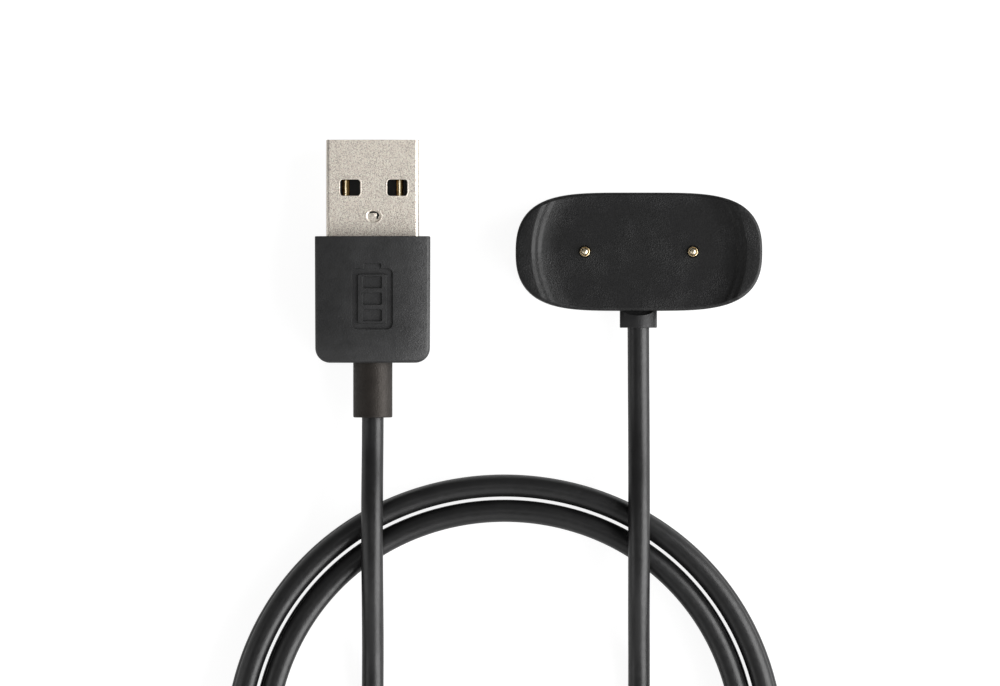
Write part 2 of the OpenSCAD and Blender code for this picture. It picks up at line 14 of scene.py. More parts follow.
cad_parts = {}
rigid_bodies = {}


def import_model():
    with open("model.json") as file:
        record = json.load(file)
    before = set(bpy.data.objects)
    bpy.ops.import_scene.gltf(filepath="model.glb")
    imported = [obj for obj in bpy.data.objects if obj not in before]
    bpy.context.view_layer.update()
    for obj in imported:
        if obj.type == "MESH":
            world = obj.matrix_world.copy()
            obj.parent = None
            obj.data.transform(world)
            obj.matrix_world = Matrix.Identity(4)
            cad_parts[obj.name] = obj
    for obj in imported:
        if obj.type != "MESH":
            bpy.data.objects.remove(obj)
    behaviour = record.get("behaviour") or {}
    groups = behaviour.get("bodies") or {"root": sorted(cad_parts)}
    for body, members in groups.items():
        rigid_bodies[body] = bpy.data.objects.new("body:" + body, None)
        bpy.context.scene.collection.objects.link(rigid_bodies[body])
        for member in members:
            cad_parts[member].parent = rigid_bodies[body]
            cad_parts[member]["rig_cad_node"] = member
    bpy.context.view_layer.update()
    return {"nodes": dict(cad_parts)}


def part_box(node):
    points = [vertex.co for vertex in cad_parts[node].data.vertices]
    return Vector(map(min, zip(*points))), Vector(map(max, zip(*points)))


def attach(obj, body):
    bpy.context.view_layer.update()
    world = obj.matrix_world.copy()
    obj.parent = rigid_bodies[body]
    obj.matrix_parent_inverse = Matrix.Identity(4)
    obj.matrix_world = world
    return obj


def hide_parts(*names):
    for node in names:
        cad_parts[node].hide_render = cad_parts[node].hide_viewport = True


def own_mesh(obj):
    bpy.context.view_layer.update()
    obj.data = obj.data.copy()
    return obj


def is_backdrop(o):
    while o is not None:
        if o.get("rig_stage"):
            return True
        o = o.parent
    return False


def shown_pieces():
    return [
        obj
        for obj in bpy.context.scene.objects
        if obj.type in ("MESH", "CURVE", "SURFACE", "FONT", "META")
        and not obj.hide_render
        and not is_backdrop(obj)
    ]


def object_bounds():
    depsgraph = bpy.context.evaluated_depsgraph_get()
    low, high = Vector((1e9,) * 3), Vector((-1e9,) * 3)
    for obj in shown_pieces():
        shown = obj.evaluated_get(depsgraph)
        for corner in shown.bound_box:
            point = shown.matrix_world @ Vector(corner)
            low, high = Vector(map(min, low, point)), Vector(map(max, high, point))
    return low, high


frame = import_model()

bl_info = {
    "name": "Tracker charging cable",
    "version": (1, 0, 0),
    "blender": (4, 5, 0),
    "location": "View3D > Sidebar > Charging cable",
    "description": "Builds the charging head, the cord and the plug over their CAD frame",
    "category": "Add Mesh",
}

MM = 0.001
TO_METRES = Matrix.Scale(MM, 4)

# Image points in the photograph's frame, 1000 x 686: x from the left and y from the top
PHOTO_W, PHOTO_H = 1000, 686
IMAGE_POINTS = {
    "left_side": (314.9, 300.0),
    "right_side": (762.1, 252.0),
    "top_side": (373.2, 139.5),
    "bottom_side": (372.2, 418.1),
    "pin_left": (584.8, 251.4),
    "pin_right": (692.9, 251.9),
    "head_left_end": (515.9, 252.0),
    "head_rear_side": (639.0, 193.1),
    "head_cord_side": (700.0, 311.0),
    "window_left": (350.0, 187.6),
    "window_right": (397.4, 187.6),
    "clinch_hole": (373.7, 216.1),
    "clinch_pad": (373.1, 214.9),
    "grip_front": (372.6, 236.2),
    "collar": (638.4, 319.3),
    "coil_outer_turn": (504.7, 486.5),
    "coil_inner_turn": (504.7, 511.4),
    "coil_left_edge": (245.2, 685.0),
    "cord_from_plug": (372.2, 450.0),
    "cord_from_head": (639.0, 400.0),
}

# Route of the cord outside its coil, in millimetres, as in part.scad
PLUG_ROUTE = [
    (-34.5, -21.5, 3.8), (-34.52, -26, 4.3), (-34.53, -30.5, 6), (-34.53, -35, 7.15),
    (-34.52, -39, 7.2), (-34.5, -43.5, 6.3), (-34.5, -48, 4.3), (-34.52, -52.5, 2.4),
    (-34.55, -58, 1.55), (-34.5, -65.5, 1.4),
    (-34.5, -73.5, 1.4), (-33.5, -79.8, 1.4), (-30.7, -85.7, 1.4), (-26.3, -90.5, 1.4),
    (-20.6, -93.8, 1.4), (-14.3, -95.2, 1.4), (-7.7, -94.7, 1.4),
]
HEAD_ROUTE = [
    (0, -9.85, 3.3), (0.03, -16, 3.2), (0.06, -21.5, 3.4), (0.06, -26, 4.3), (0.03, -30.5, 6),
    (0, -35, 7.15), (0, -39, 7.2), (0.01, -43.5, 6.3), (0.05, -48, 4.3), (0.11, -52.5, 2.4),
    (0.12, -58, 1.55), (0.03, -65, 1.4),
    (-0.8, -71.4, 1.4), (-3.3, -77.3, 1.4), (-7.1, -82.4, 1.7), (-12.2, -86.2, 2.7), (-18.1, -88.7, 3.8),
    (-24.4, -89.5, 4.3), (-30.7, -88.6, 4.4), (-36.5, -86.1, 4.3), (-41.6, -82.2, 4.2),
    (-45.5, -77.1, 4.2), (-48, -71.3, 4.2),
]
COIL_CENTRE = (-17.4, -65.1)
# Where the cord starts and stops being wound, and the step between the route's points, in degrees
COIL_START, COIL_END, COIL_STEP = 300, 1620, 15
# Arcs of the coil on which the cord moves out, up and in again: where each starts and how far it goes
COIL_MOVES = {"out": (602, 38), "up": (940, 38), "in": (1278, 40)}


def box_mm(node):
    """Lowest and highest corner of a CAD node, in millimetres."""
    low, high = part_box(node)
    return Vector(low) / MM, Vector(high) / MM


def seam_level():
    """Height of the head's parting seam, where the cord leaves it too, in millimetres."""
    low, high = box_mm("head_cord_collar")
    return (low[2] + high[2]) / 2


def wide(node, axis):
    """Size of a CAD node along an axis, in metres."""
    low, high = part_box(node)
    return high[axis] - low[axis]


# ---- settings ----


class StageSettings(bpy.types.PropertyGroup):
    """Camera, lamps and table of the photograph"""

    camera_height: FloatProperty(
        name="Camera height", description="Height of the camera over the table",
        default=0.8, min=0.3, max=3, unit="LENGTH")
    camera_aim: FloatVectorProperty(
        name="Camera aim", description="Point of the table in the middle of the picture",
        size=2, default=(-0.01798, -0.01183), unit="LENGTH", subtype="XYZ")
    lens: FloatProperty(
        name="Lens", description="Focal length of the camera",
        default=220.7, min=50, max=600, unit="CAMERA")
    right_lamp: FloatProperty(
        name="Right lamp", description="Power of the large soft lamp on the right",
        default=5.5, min=0, max=20, unit="POWER")
    left_lamp: FloatProperty(
        name="Left lamp", description="Power of the small lamp low on the left",
        default=0.095, min=0, max=20, unit="POWER")
    front_lamp: FloatProperty(
        name="Front lamp", description="Power of the soft lamp in front",
        default=0.38, min=0, max=20, unit="POWER")
    top_lamp: FloatProperty(
        name="Top lamp", description="Power of the small lamp beside the camera",
        default=0.112, min=0, max=20, unit="POWER")
    room_light: FloatProperty(
        name="Room light", description="Level of the even light around the table",
        default=0.18, min=0, max=1)
    table_colour: FloatVectorProperty(
        name="Table colour", description="Colour of the white table",
        size=3, default=(0.25, 0.25, 0.25), min=0, max=1, subtype="COLOR")
    table_white: FloatProperty(
        name="Table white", description="White that the table adds where it is seen",
        default=0.9, min=0, max=1)
    table_mirrored: FloatProperty(
        name="Table mirrored", description="Brightness of the table where it is mirrored",
        default=0.45, min=0, max=2)


class CordSettings(bpy.types.PropertyGroup):
    """Sizes and colour of the cord and its strain relief"""

    diameter: FloatProperty(
        name="Diameter", description="Outside diameter of the cord",
        default=0.00283, min=0.001, max=0.006, unit="LENGTH", subtype="DISTANCE")
    inner_turns: FloatProperty(
        name="Inner turns", description="Radius of the coil's inner turns",
        default=0.03145, min=0.01, max=0.1, unit="LENGTH", subtype="DISTANCE")
    turn_step: FloatProperty(
        name="Turn step", description="Distance between the inner and the outer turns",
        default=0.00328, min=0.001, max=0.01, unit="LENGTH", subtype="DISTANCE")
    layer_step: FloatProperty(
        name="Layer step", description="Height of the upper turns over the lower ones",
        default=0.00284, min=0.001, max=0.01, unit="LENGTH", subtype="DISTANCE")
    layer_shift: FloatProperty(
        name="Layer shift", description="How far upper turns lie inside lower ones at the sides",
        default=0.00043, min=0, max=0.002, unit="LENGTH", subtype="DISTANCE")
    side_step: FloatProperty(
        name="Side step", description="How much further apart the turns lie at the sides",
        default=0.00027, min=0, max=0.002, unit="LENGTH", subtype="DISTANCE")
    bulge: FloatProperty(
        name="Bulge", description="How far the coil bulges between its top and its sides",
        default=0.00022, min=0, max=0.002, unit="LENGTH", subtype="DISTANCE")
    ring_step: FloatProperty(
        name="Ring step", description="Distance between two rings of the cord's mesh",
        default=0.0008, min=0.0003, max=0.003, unit="LENGTH", subtype="DISTANCE")
    sides: IntProperty(
        name="Sides", description="Sides of the cord's mesh",
        default=28, min=8, max=64)
    colour: FloatVectorProperty(
        name="Cord colour", description="Colour of the cord's soft jacket",
        size=3, default=(0.0100, 0.0100, 0.0103), min=0, max=1, subtype="COLOR")
    relief_colour: FloatVectorProperty(
        name="Relief colour", description="Colour of the plug's strain relief",
        size=3, default=(0.0180, 0.0155, 0.0138), min=0, max=1, subtype="COLOR")
    relief_edge: FloatProperty(
        name="Relief edge", description="Rounding of the strain relief's end",
        default=0.00018, min=0.00005, max=0.0005, unit="LENGTH", subtype="DISTANCE")


class HeadSettings(bpy.types.PropertyGroup):
    """Sizes and colour of the charging head"""

    width: FloatProperty(
        name="Width", description="Width of the head across its two contacts",
        default=wide("head_front_cover", 0), unit="LENGTH", subtype="DISTANCE")
    depth: FloatProperty(
        name="Depth", description="Depth of the head on the table",
        default=wide("head_front_cover", 1), unit="LENGTH", subtype="DISTANCE")
    squareness: FloatVectorProperty(
        name="Squareness", description="Flatness of the outline's long sides and ends",
        size=2, default=(4.28, 2.49), min=2, max=6)
    wall: FloatProperty(
        name="Wall", description="Thickness of the side wall",
        default=0.0012, unit="LENGTH", subtype="DISTANCE")
    edge: FloatProperty(
        name="Edge", description="Rounding of the outer edges",
        default=0.0004, unit="LENGTH", subtype="DISTANCE")
    parting: FloatProperty(
        name="Parting line", description="Depth of the groove between the two shells",
        default=0.00006, unit="LENGTH", subtype="DISTANCE")
    seat_diameter: FloatProperty(
        name="Seat diameter", description="Diameter of the round seat for the tracker",
        default=0.0278, unit="LENGTH", subtype="DISTANCE")
    seat_deep: FloatProperty(
        name="Seat depth", description="Depth of the seat's floor under the raised ends",
        default=0.001, unit="LENGTH", subtype="DISTANCE")
    seat_step: FloatProperty(
        name="Seat step", description="Fall of each of the seat's two steps",
        default=0.0003, unit="LENGTH", subtype="DISTANCE")
    seat_slope: FloatProperty(
        name="Seat slope", description="Width of the slope at each step",
        default=0.0004, unit="LENGTH", subtype="DISTANCE")
    seat_ledge: FloatProperty(
        name="Seat ledge", description="Width of the ledge between the steps",
        default=0.00045, unit="LENGTH", subtype="DISTANCE")
    seat_dish: FloatProperty(
        name="Seat dish", description="Width of the shallow dish inside the steps",
        default=0.0022, unit="LENGTH", subtype="DISTANCE")
    pin_pitch: FloatProperty(
        name="Pin pitch", description="Distance between the two spring contacts",
        default=0.014, unit="LENGTH", subtype="DISTANCE")
    spring_turns: IntProperty(
        name="Spring turns", description="Turns of each contact's spring",
        default=8, min=4, max=14)
    colour: FloatVectorProperty(
        name="Head colour", description="Colour of the head's moulded plastic",
        size=3, default=(0.0070, 0.0070, 0.0072), min=0, max=1, subtype="COLOR")
    gold: FloatVectorProperty(
        name="Pin colour", description="Colour of the gold plating",
        size=3, default=(0.88, 0.76, 0.54), min=0, max=1, subtype="COLOR")


class PlugSettings(bpy.types.PropertyGroup):
    """Sizes and colours of the plug"""

    sheet: FloatProperty(
        name="Sheet metal", description="Thickness of the shell's sheet metal",
        default=0.0003, unit="LENGTH", subtype="DISTANCE")
    shell_edge: FloatProperty(
        name="Shell edge", description="Outside radius of the shell's long edges",
        default=0.00045, unit="LENGTH", subtype="DISTANCE")
    window_size: FloatVectorProperty(
        name="Window size", description="Width and length of a latch window",
        size=2, default=(0.0026, 0.0021), unit="LENGTH", subtype="XYZ")
    window_pitch: FloatProperty(
        name="Window pitch", description="Distance between the two windows of a face",
        default=0.0061, unit="LENGTH", subtype="DISTANCE")
    window_back: FloatProperty(
        name="Window place", description="Distance of the windows' centre from the tip",
        default=0.0062, unit="LENGTH", subtype="DISTANCE")
    window_rim: FloatProperty(
        name="Window rim", description="Width of the coined rim round a window",
        default=0.00022, unit="LENGTH", subtype="DISTANCE")
    punch_place: FloatProperty(
        name="Punch place", description="How far the windows and clinch sit to the right",
        default=0.00015, unit="LENGTH", subtype="DISTANCE")
    clinch: FloatVectorProperty(
        name="Clinch hole", description="Width and length of the clinch's hollow",
        size=2, default=(0.00166, 0.00138), unit="LENGTH", subtype="XYZ")
    clinch_back: FloatProperty(
        name="Clinch place", description="Distance of the clinch hole from the tip",
        default=0.0099, unit="LENGTH", subtype="DISTANCE")
    grip_corner: FloatProperty(
        name="Grip corner", description="Radius of the grip's two rear corners",
        default=0.0019, unit="LENGTH", subtype="DISTANCE")
    grip_edge: FloatProperty(
        name="Grip edge", description="Radius of the grip's long edges",
        default=0.0004, unit="LENGTH", subtype="DISTANCE")
    grip_crown: FloatProperty(
        name="Grip crown", description="How far the grip's faces fall away at their sides",
        default=0.0008, unit="LENGTH", subtype="DISTANCE")
    grip_fall: FloatProperty(
        name="Grip fall", description="How far the grip's faces fall away at its rear",
        default=0.0008, unit="LENGTH", subtype="DISTANCE")
    mark_size: FloatVectorProperty(
        name="Mark size", description="Width and height of the battery mark",
        size=2, default=(0.0052, 0.0078), unit="LENGTH", subtype="XYZ")
    mark_line: FloatProperty(
        name="Mark line", description="Width of the mark's lines",
        default=0.0007, unit="LENGTH", subtype="DISTANCE")
    mark_deep: FloatProperty(
        name="Mark depth", description="Depth of the mark",
        default=0.00024, unit="LENGTH", subtype="DISTANCE")
    mark_bars: IntProperty(
        name="Mark bars", description="Level bars in the mark",
        default=3, min=1, max=5)
    grip_colour: FloatVectorProperty(
        name="Grip colour", description="Colour of the grip's soft plastic",
        size=3, default=(0.0215, 0.0215, 0.022), min=0, max=1, subtype="COLOR")
    metal: FloatVectorProperty(
        name="Shell colour", description="Colour of the shell's metal",
        size=3, default=(0.98, 0.88, 0.785), min=0, max=1, subtype="COLOR")


# ---- meshes, in millimetres ----

SAME_PLACE, NO_LENGTH = 1e-5, 1e-6


def mesh_object(name, points, faces):
    """A linked mesh object with its double points merged and its faces turned outwards."""
    mesh = bpy.data.meshes.new(name)
    mesh.from_pydata([tuple(p) for p in points], [], faces)
    mesh.validate()
    made = bmesh.new()
    made.from_mesh(mesh)
    bmesh.ops.remove_doubles(made, verts=made.verts, dist=SAME_PLACE)
    bmesh.ops.dissolve_degenerate(made, edges=made.edges, dist=NO_LENGTH)
    bmesh.ops.recalc_face_normals(made, faces=made.faces)
    made.to_mesh(mesh)
    made.free()
    obj = bpy.data.objects.new(name, mesh)
    bpy.context.scene.collection.objects.link(obj)
    return obj


def loft(name, rings, closed=False):
    """A skin over rings of equally many points, with a face over each end.

    Closed joins the last ring to the first instead.
    """
    n = len(rings[0])
    faces = []
    for i in range(len(rings) if closed else len(rings) - 1):
        a, b = i * n, (i + 1) % len(rings) * n
        faces += [(a + k, a + (k + 1) % n, b + (k + 1) % n, b + k) for k in range(n)]
    if not closed:
        last = (len(rings) - 1) * n
        faces += [tuple(range(n))[::-1], tuple(range(last, last + n))]
    return mesh_object(name, [p for ring in rings for p in ring], faces)


def turned(name, profile, centre, steps, along_y=False):
    """A solid turned round an upright axis, or round one along Y.

    The profile is a list of (radius, level), with both ends on the axis.
    """
    turn = [(math.cos(a), math.sin(a)) for a in (2 * math.pi * k / steps for k in range(steps))]
    place = crosswise if along_y else upright
    return loft(name, [place([(radius * c, radius * s) for c, s in turn], centre, level)
                       for radius, level in profile])


def arc(centre, radius, start, end, steps):
    """Points of an arc, with its angles in degrees."""
    return [(centre[0] + radius * math.cos(math.radians(start + (end - start) * k / steps)),
             centre[1] + radius * math.sin(math.radians(start + (end - start) * k / steps)))
            for k in range(steps + 1)]


def rounded_rect(w, h, r, steps=8):
    """The outline of a rectangle of width w and height h round the origin, with corners of radius r."""
    points = []
    for cx, cy, start in ((w / 2 - r, h / 2 - r, 0), (r - w / 2, h / 2 - r, 90),
                          (r - w / 2, r - h / 2, 180), (w / 2 - r, r - h / 2, 270)):
        points += arc((cx, cy), r, start, start + 90, steps)
    return points


def upright(outline, place, level):
    """An outline in x and y as a ring at a level."""
    return [(place[0] + x, place[1] + y, level) for x, y in outline]


def crosswise(outline, place, y):
    """An outline in x and z as a ring at a place along Y."""
    return [(place[0] + x, y, place[2] + z) for x, z in outline]


def add_modifier(obj, kind, **values):
    """Adds a modifier with the values named."""
    modifier = obj.modifiers.new(kind.lower(), kind)
    for key, value in values.items():
        setattr(modifier, key, value)


def bake(obj):
    """Turns the modifiers into plain mesh."""
    depsgraph = bpy.context.evaluated_depsgraph_get()
    old = obj.data
    obj.data = bpy.data.meshes.new_from_object(obj.evaluated_get(depsgraph), depsgraph=depsgraph)
    obj.modifiers.clear()
    bpy.data.meshes.remove(old)


def combine(obj, others, operation):
    """Cuts the others, which don't touch each other, from obj, or joins them to it."""
    tools = bmesh.new()
    for other in others:
        tools.from_mesh(other.data)
    tools.to_mesh(others[0].data)
    tools.free()
    add_modifier(obj, "BOOLEAN", object=others[0], operation=operation, solver="EXACT")
    bpy.context.view_layer.update()
    bake(obj)
    for other in others:
        bpy.data.objects.remove(other)


def finish_piece(obj, body, material, replaced=(), angle=35, flat_faces=True):
    """Scales a piece to metres, shades it smooth and puts it on its CAD body.

    Edges sharper than the angle, in degrees, stay sharp. With flat_faces the shading of flat faces stays
    flat beside their rounded edges.
    """
    obj.data.transform(TO_METRES)
    obj.data.polygons.foreach_set("use_smooth", [True] * len(obj.data.polygons))
    obj.data.set_sharp_from_angle(angle=math.radians(angle))
    if flat_faces:
        add_modifier(obj, "WEIGHTED_NORMAL", keep_sharp=True, weight=90)
        bake(obj)
    obj.data.materials.clear()
    obj.data.materials.append(material)
    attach(obj, body)
    if replaced:
        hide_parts(*replaced)
    return obj


# ---- materials ----


class Finish:
    """A node material under construction, with positions read in millimetres."""

    def __init__(self, name):
        self.material = bpy.data.materials.new(name)
        self.material.use_nodes = True
        self.nodes = self.material.node_tree.nodes
        self.links = self.material.node_tree.links
        self.shader = self.nodes["Principled BSDF"]
        place = self.nodes.new("ShaderNodeTexCoord")
        self.place = self.nodes.new("ShaderNodeVectorMath")
        self.place.operation = "SCALE"
        self.place.inputs["Scale"].default_value = 1 / MM
        self.links.new(place.outputs["Object"], self.place.inputs[0])

    def noise(self, per_mm, detail=3.0, rough=0.55, stretch=None):
        """Noise with about so many waves per millimetre."""
        node = self.nodes.new("ShaderNodeTexNoise")
        node.inputs["Scale"].default_value = per_mm
        node.inputs["Detail"].default_value = detail
        node.inputs["Roughness"].default_value = rough
        vector = self.place.outputs["Vector"]
        if stretch:
            turn = self.nodes.new("ShaderNodeMapping")
            turn.inputs["Scale"].default_value = stretch
            self.links.new(vector, turn.inputs["Vector"])
            vector = turn.outputs["Vector"]
        self.links.new(vector, node.inputs["Vector"])
        return node.outputs["Fac"]

    def across(self, middle):
        """Distance to the right of a middle, in millimetres."""
        parts = self.nodes.new("ShaderNodeSeparateXYZ")
        self.links.new(self.place.outputs["Vector"], parts.inputs[0])
        return self.maths("SUBTRACT", parts.outputs["X"], middle)

    def spread(self, value, low, high, from_low=0.3, from_high=0.7):
        """A value moved from its own range to the range from low to high."""
        node = self.nodes.new("ShaderNodeMapRange")
        for key, number in (("From Min", from_low), ("From Max", from_high),
                            ("To Min", low), ("To Max", high)):
            node.inputs[key].default_value = number
        self.links.new(value, node.inputs["Value"])
        return node.outputs["Result"]

    def maths(self, operation, a, b):
        """A sum of two values, each a number or a socket."""
        node = self.nodes.new("ShaderNodeMath")
        node.operation = operation
        for socket, value in zip(node.inputs, (a, b)):
            if isinstance(value, (int, float)):
                socket.default_value = value
            else:
                self.links.new(value, socket)
        return node.outputs["Value"]

    def tint(self, value, *stops):
        """A colour ramp: stops are (position, colour)."""
        node = self.nodes.new("ShaderNodeValToRGB")
        ramp = node.color_ramp
        for element, (position, colour) in zip(ramp.elements, (stops[0], stops[-1])):
            element.position, element.color = position, (*colour, 1)
        for position, colour in stops[1:-1]:
            ramp.elements.new(position).color = (*colour, 1)
        self.links.new(value, node.inputs["Fac"])
        return node.outputs["Color"]

    def relief(self, height, deep_mm):
        """Bumps the face by a height times a depth."""
        node = self.nodes.new("ShaderNodeBump")
        node.inputs["Distance"].default_value = deep_mm * MM
        node.inputs["Strength"].default_value = 1
        self.links.new(height, node.inputs["Height"])
        self.links.new(node.outputs["Normal"], self.shader.inputs["Normal"])

    def set(self, **values):
        """Sets or links the shader's sockets, which are named with an underscore for each space."""
        for key, value in values.items():
            socket = self.shader.inputs[key.replace("_", " ")]
            if isinstance(value, bpy.types.NodeSocket):
                self.links.new(value, socket)
            else:
                socket.default_value = value


def shade(colour, share):
    """A colour made darker or lighter."""
    return tuple(min(1.0, c * share) for c in colour)


def soft_plastic(name, colour, rough, grain, grain_mm, wave_mm, specular, gloss=(1, 1, 1)):
    """Matt moulded plastic with cloudy patches, a fine skin grain and a slightly uneven face."""
    made = Finish(name)
    clouds = made.noise(0.35, 4)
    made.set(Base_Color=made.tint(clouds, (0.3, shade(colour, 0.82)), (0.5, colour),
                                  (0.72, shade(colour, 1.3))),
             Roughness=made.spread(made.noise(1.3, 4), rough - 0.07, rough + 0.07),
             Specular_IOR_Level=specular, Specular_Tint=(*gloss, 1))
    fine = made.maths("MULTIPLY", made.noise(grain, 3, 0.6), grain_mm)
    wave = made.maths("MULTIPLY", made.noise(0.45, 2, 0.5), wave_mm)
    made.relief(made.maths("ADD", fine, wave), 1)
    return made.material


def eroded_plastic(name, colour, rough):
    """Hard black plastic from a spark-eroded mould: small pits, deeper in some patches than in others."""
    made = Finish(name)
    pits = made.noise(5.5, 3, 0.65)
    patches = made.spread(made.noise(0.16, 2), 0.25, 1.0, 0.4, 0.62)
    made.set(Base_Color=made.tint(pits, (0.32, shade(colour, 0.7)), (0.5, colour),
                                  (0.72, shade(colour, 1.7))),
             Roughness=made.spread(made.noise(2.2, 4), rough - 0.06, rough + 0.08),
             Specular_IOR_Level=0.36)
    made.relief(made.maths("MULTIPLY", pits, patches), 0.09)
    return made.material


def blasted_metal(name, colour, rough, bent_rough, middle, half):
    """Warm grey plated sheet metal with a fine blasted grain, smoother where its long edges are bent."""
    made = Finish(name)
    off = made.maths("ABSOLUTE", made.across(middle), 0)
    bend = made.spread(off, 0, 1, half - 0.42, half - 0.3)
    flat = made.maths("SUBTRACT", 1.0, bend)
    grain = made.noise(11.0, 0)
    made.set(Base_Color=made.tint(grain, (0.3, shade(colour, 0.55)), (0.52, colour),
                                  (0.62, shade(colour, 1.1))),
             Roughness=made.maths("ADD", made.maths("MULTIPLY", bend, bent_rough - rough),
                                  made.spread(made.noise(0.8, 3), rough - 0.03, rough + 0.03)),
             Metallic=1.0)
    made.relief(made.maths("MULTIPLY", grain, flat), 0.03)
    return made.material


def plated(name, colour, rough, worn=0.8):
    """Smooth plating, a little duller and darker in worn patches."""
    made = Finish(name)
    wear = made.noise(2.5, 4)
    made.set(Base_Color=made.tint(wear, (0.35, shade(colour, worn)), (0.6, colour)),
             Roughness=made.spread(wear, rough + 0.1, rough),
             Metallic=1.0)
    made.relief(made.noise(6, 2), 0.0003)
    return made.material


def gold_with_painted_light(name, middle, highlight_shift):
    """A contact strip's gold with painted light: painted shade, dark brown, towards both edges, and a painted
    highlight, a bright line, near its middle.
    """
    made = Finish(name)
    across = made.maths("ADD", made.across(middle - 0.5),
                        made.spread(made.noise(1.5, 3, stretch=(1, 0.2, 1)), -0.03, 0.03))
    # painted highlight: the bright line, moved from the strip's middle by the shift; the brown ramps towards
    # both edges are painted shade
    line = 0.5 + highlight_shift
    made.set(Base_Color=made.tint(across, (0.0, (0.20, 0.10, 0.045)), (line - 0.2, (0.55, 0.36, 0.14)),
                                  (line, (1.0, 0.90, 0.66)), (line + 0.12, (0.62, 0.42, 0.17)),
                                  (1.0, (0.28, 0.16, 0.06))),
             Roughness=made.spread(made.noise(3, 3), 0.16, 0.22), Metallic=1.0)
    made.relief(made.noise(6, 2), 0.0008)
    return made.material


def plain_body(name, colour, rough, dark=0.8, grain=6, **more):
    """A hidden piece's material: a mottled colour and a fine grain."""
    made = Finish(name)
    made.set(Base_Color=made.tint(made.noise(1.2, 4), (0.3, shade(colour, dark)), (0.7, colour)),
             Roughness=made.spread(made.noise(3, 3), rough - 0.05, rough + 0.05), **more)
    made.relief(made.noise(grain, 3), 0.006)
    return made.material


def circuit_board():
    """Green solder mask over the copper tracks of the contact board."""
    made = Finish("board_mask")
    lines = made.nodes.new("ShaderNodeTexWave")
    lines.inputs["Scale"].default_value = 0.55
    lines.inputs["Distortion"].default_value = 2.5
    made.links.new(made.place.outputs["Vector"], lines.inputs["Vector"])
    tracks = made.spread(lines.outputs["Fac"], 0, 1, 0.72, 0.78)
    made.set(Base_Color=made.tint(tracks, (0.2, (0.012, 0.09, 0.035)), (0.8, (0.03, 0.17, 0.07))),
             Roughness=made.spread(made.noise(2, 3), 0.3, 0.42))
    made.relief(tracks, 0.02)
    return made.material


def dress(node, material):
    """Gives a shown CAD node its material."""
    for place in frame["nodes"][node].material_slots:
        place.material = material


# ---- the picture ----


def camera_frame():
    """The camera's matrix, the picture's long side and the camera's lens."""
    camera = bpy.context.scene.camera
    return camera.matrix_world, max(PHOTO_W, PHOTO_H), camera.data


def on_surface(point, carrier):
    """Where the ray through a named image point meets a finished piece, with that face's normal.

    A ray that misses gives the piece's place nearest the ray's end.
    """
    matrix, side, lens = camera_frame()
    x, y = IMAGE_POINTS[point]
    ray = Vector((x - PHOTO_W / 2 + lens.shift_x * side, PHOTO_H / 2 - y + lens.shift_y * side,
                  -side * lens.lens / lens.sensor_width))
    ray = (matrix.to_3x3() @ ray).normalized()
    tree = BVHTree.FromObject(carrier, bpy.context.evaluated_depsgraph_get())
    hit, normal = tree.ray_cast(matrix.translation, ray)[:2]
    if hit is None:
        reach = (Vector(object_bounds()[0]) - matrix.translation).length
        hit, normal = tree.find_nearest(matrix.translation + ray * reach)[:2]
    return hit, normal


def in_picture(places):
    """Picture x and y of places in metres."""
    matrix, side, lens = camera_frame()
    seen = np.c_[np.array(places, float), np.ones(len(places))] @ np.array(matrix.inverted()).T
    scale = side * lens.lens / lens.sensor_width
    x = seen[:, 0] / -seen[:, 2] * scale + PHOTO_W / 2 - lens.shift_x * side
    y = PHOTO_H / 2 + lens.shift_y * side - seen[:, 1] / -seen[:, 2] * scale
    return np.c_[x, y]


# ---- table, lamps and camera ----

# The table lies just under the cord, so that no face of the cord lies in it
TABLE_REACH, TABLE_LEVEL = 1500, -0.03
# Place, size and aim of each lamp, in millimetres
LAMPS = {
    "right_lamp": ((350, -100, 155), (740, 460), (-18, -25, 0)),
    "left_lamp": ((-210, -90, 72), (190, 150), (-34, -50, 0)),
    "top_lamp": ((-52, 40, 790), (110, 110), (-35, 8, 0)),
    "front_lamp": ((-18, -380, 215), (600, 400), (-18, -25, 0)),
}
SENSOR_WIDTH = 36


def soft_lamp(name, place, size, aim, power):
    """A rectangular lamp that lights the object and isn't seen itself."""
    lamp = bpy.data.lights.new(name, "AREA")
    lamp.shape = "RECTANGLE"
    lamp.size, lamp.size_y = size[0] * MM, size[1] * MM
    lamp.energy = power
    obj = bpy.data.objects.new(name, lamp)
    obj.location = Vector(place) * MM
    obj.rotation_euler = (Vector(aim) - Vector(place)).to_track_quat("-Z", "Y").to_euler()
    obj.visible_camera = False
    bpy.context.scene.collection.objects.link(obj)


def table_material(colour, white, mirrored):
    """A white table: it takes soft shadows, and it is seen, mirrored and seen through as white."""
    material = bpy.data.materials.new("white_table")
    material.use_nodes = True
    nodes, links = material.node_tree.nodes, material.node_tree.links
    nodes.clear()
    out = nodes.new("ShaderNodeOutputMaterial")
    paper = nodes.new("ShaderNodeBsdfDiffuse")
    paper.inputs["Color"].default_value = (*colour, 1)
    path = nodes.new("ShaderNodeLightPath")
    glow = nodes.new("ShaderNodeEmission")
    glow.inputs["Strength"].default_value = 0
    for strength, ray in ((mirrored, "Is Glossy Ray"), (white, "Is Transmission Ray"),
                          (white, "Is Camera Ray")):
        brighter, pick = nodes.new("ShaderNodeEmission"), nodes.new("ShaderNodeMixShader")
        brighter.inputs["Strength"].default_value = strength
        links.new(path.outputs[ray], pick.inputs["Fac"])
        links.new(glow.outputs[0], pick.inputs[1])
        links.new(brighter.outputs[0], pick.inputs[2])
        glow = pick
    both = nodes.new("ShaderNodeAddShader")
    links.new(paper.outputs[0], both.inputs[0])
    links.new(glow.outputs[0], both.inputs[1])
    links.new(both.outputs[0], out.inputs["Surface"])
    return material


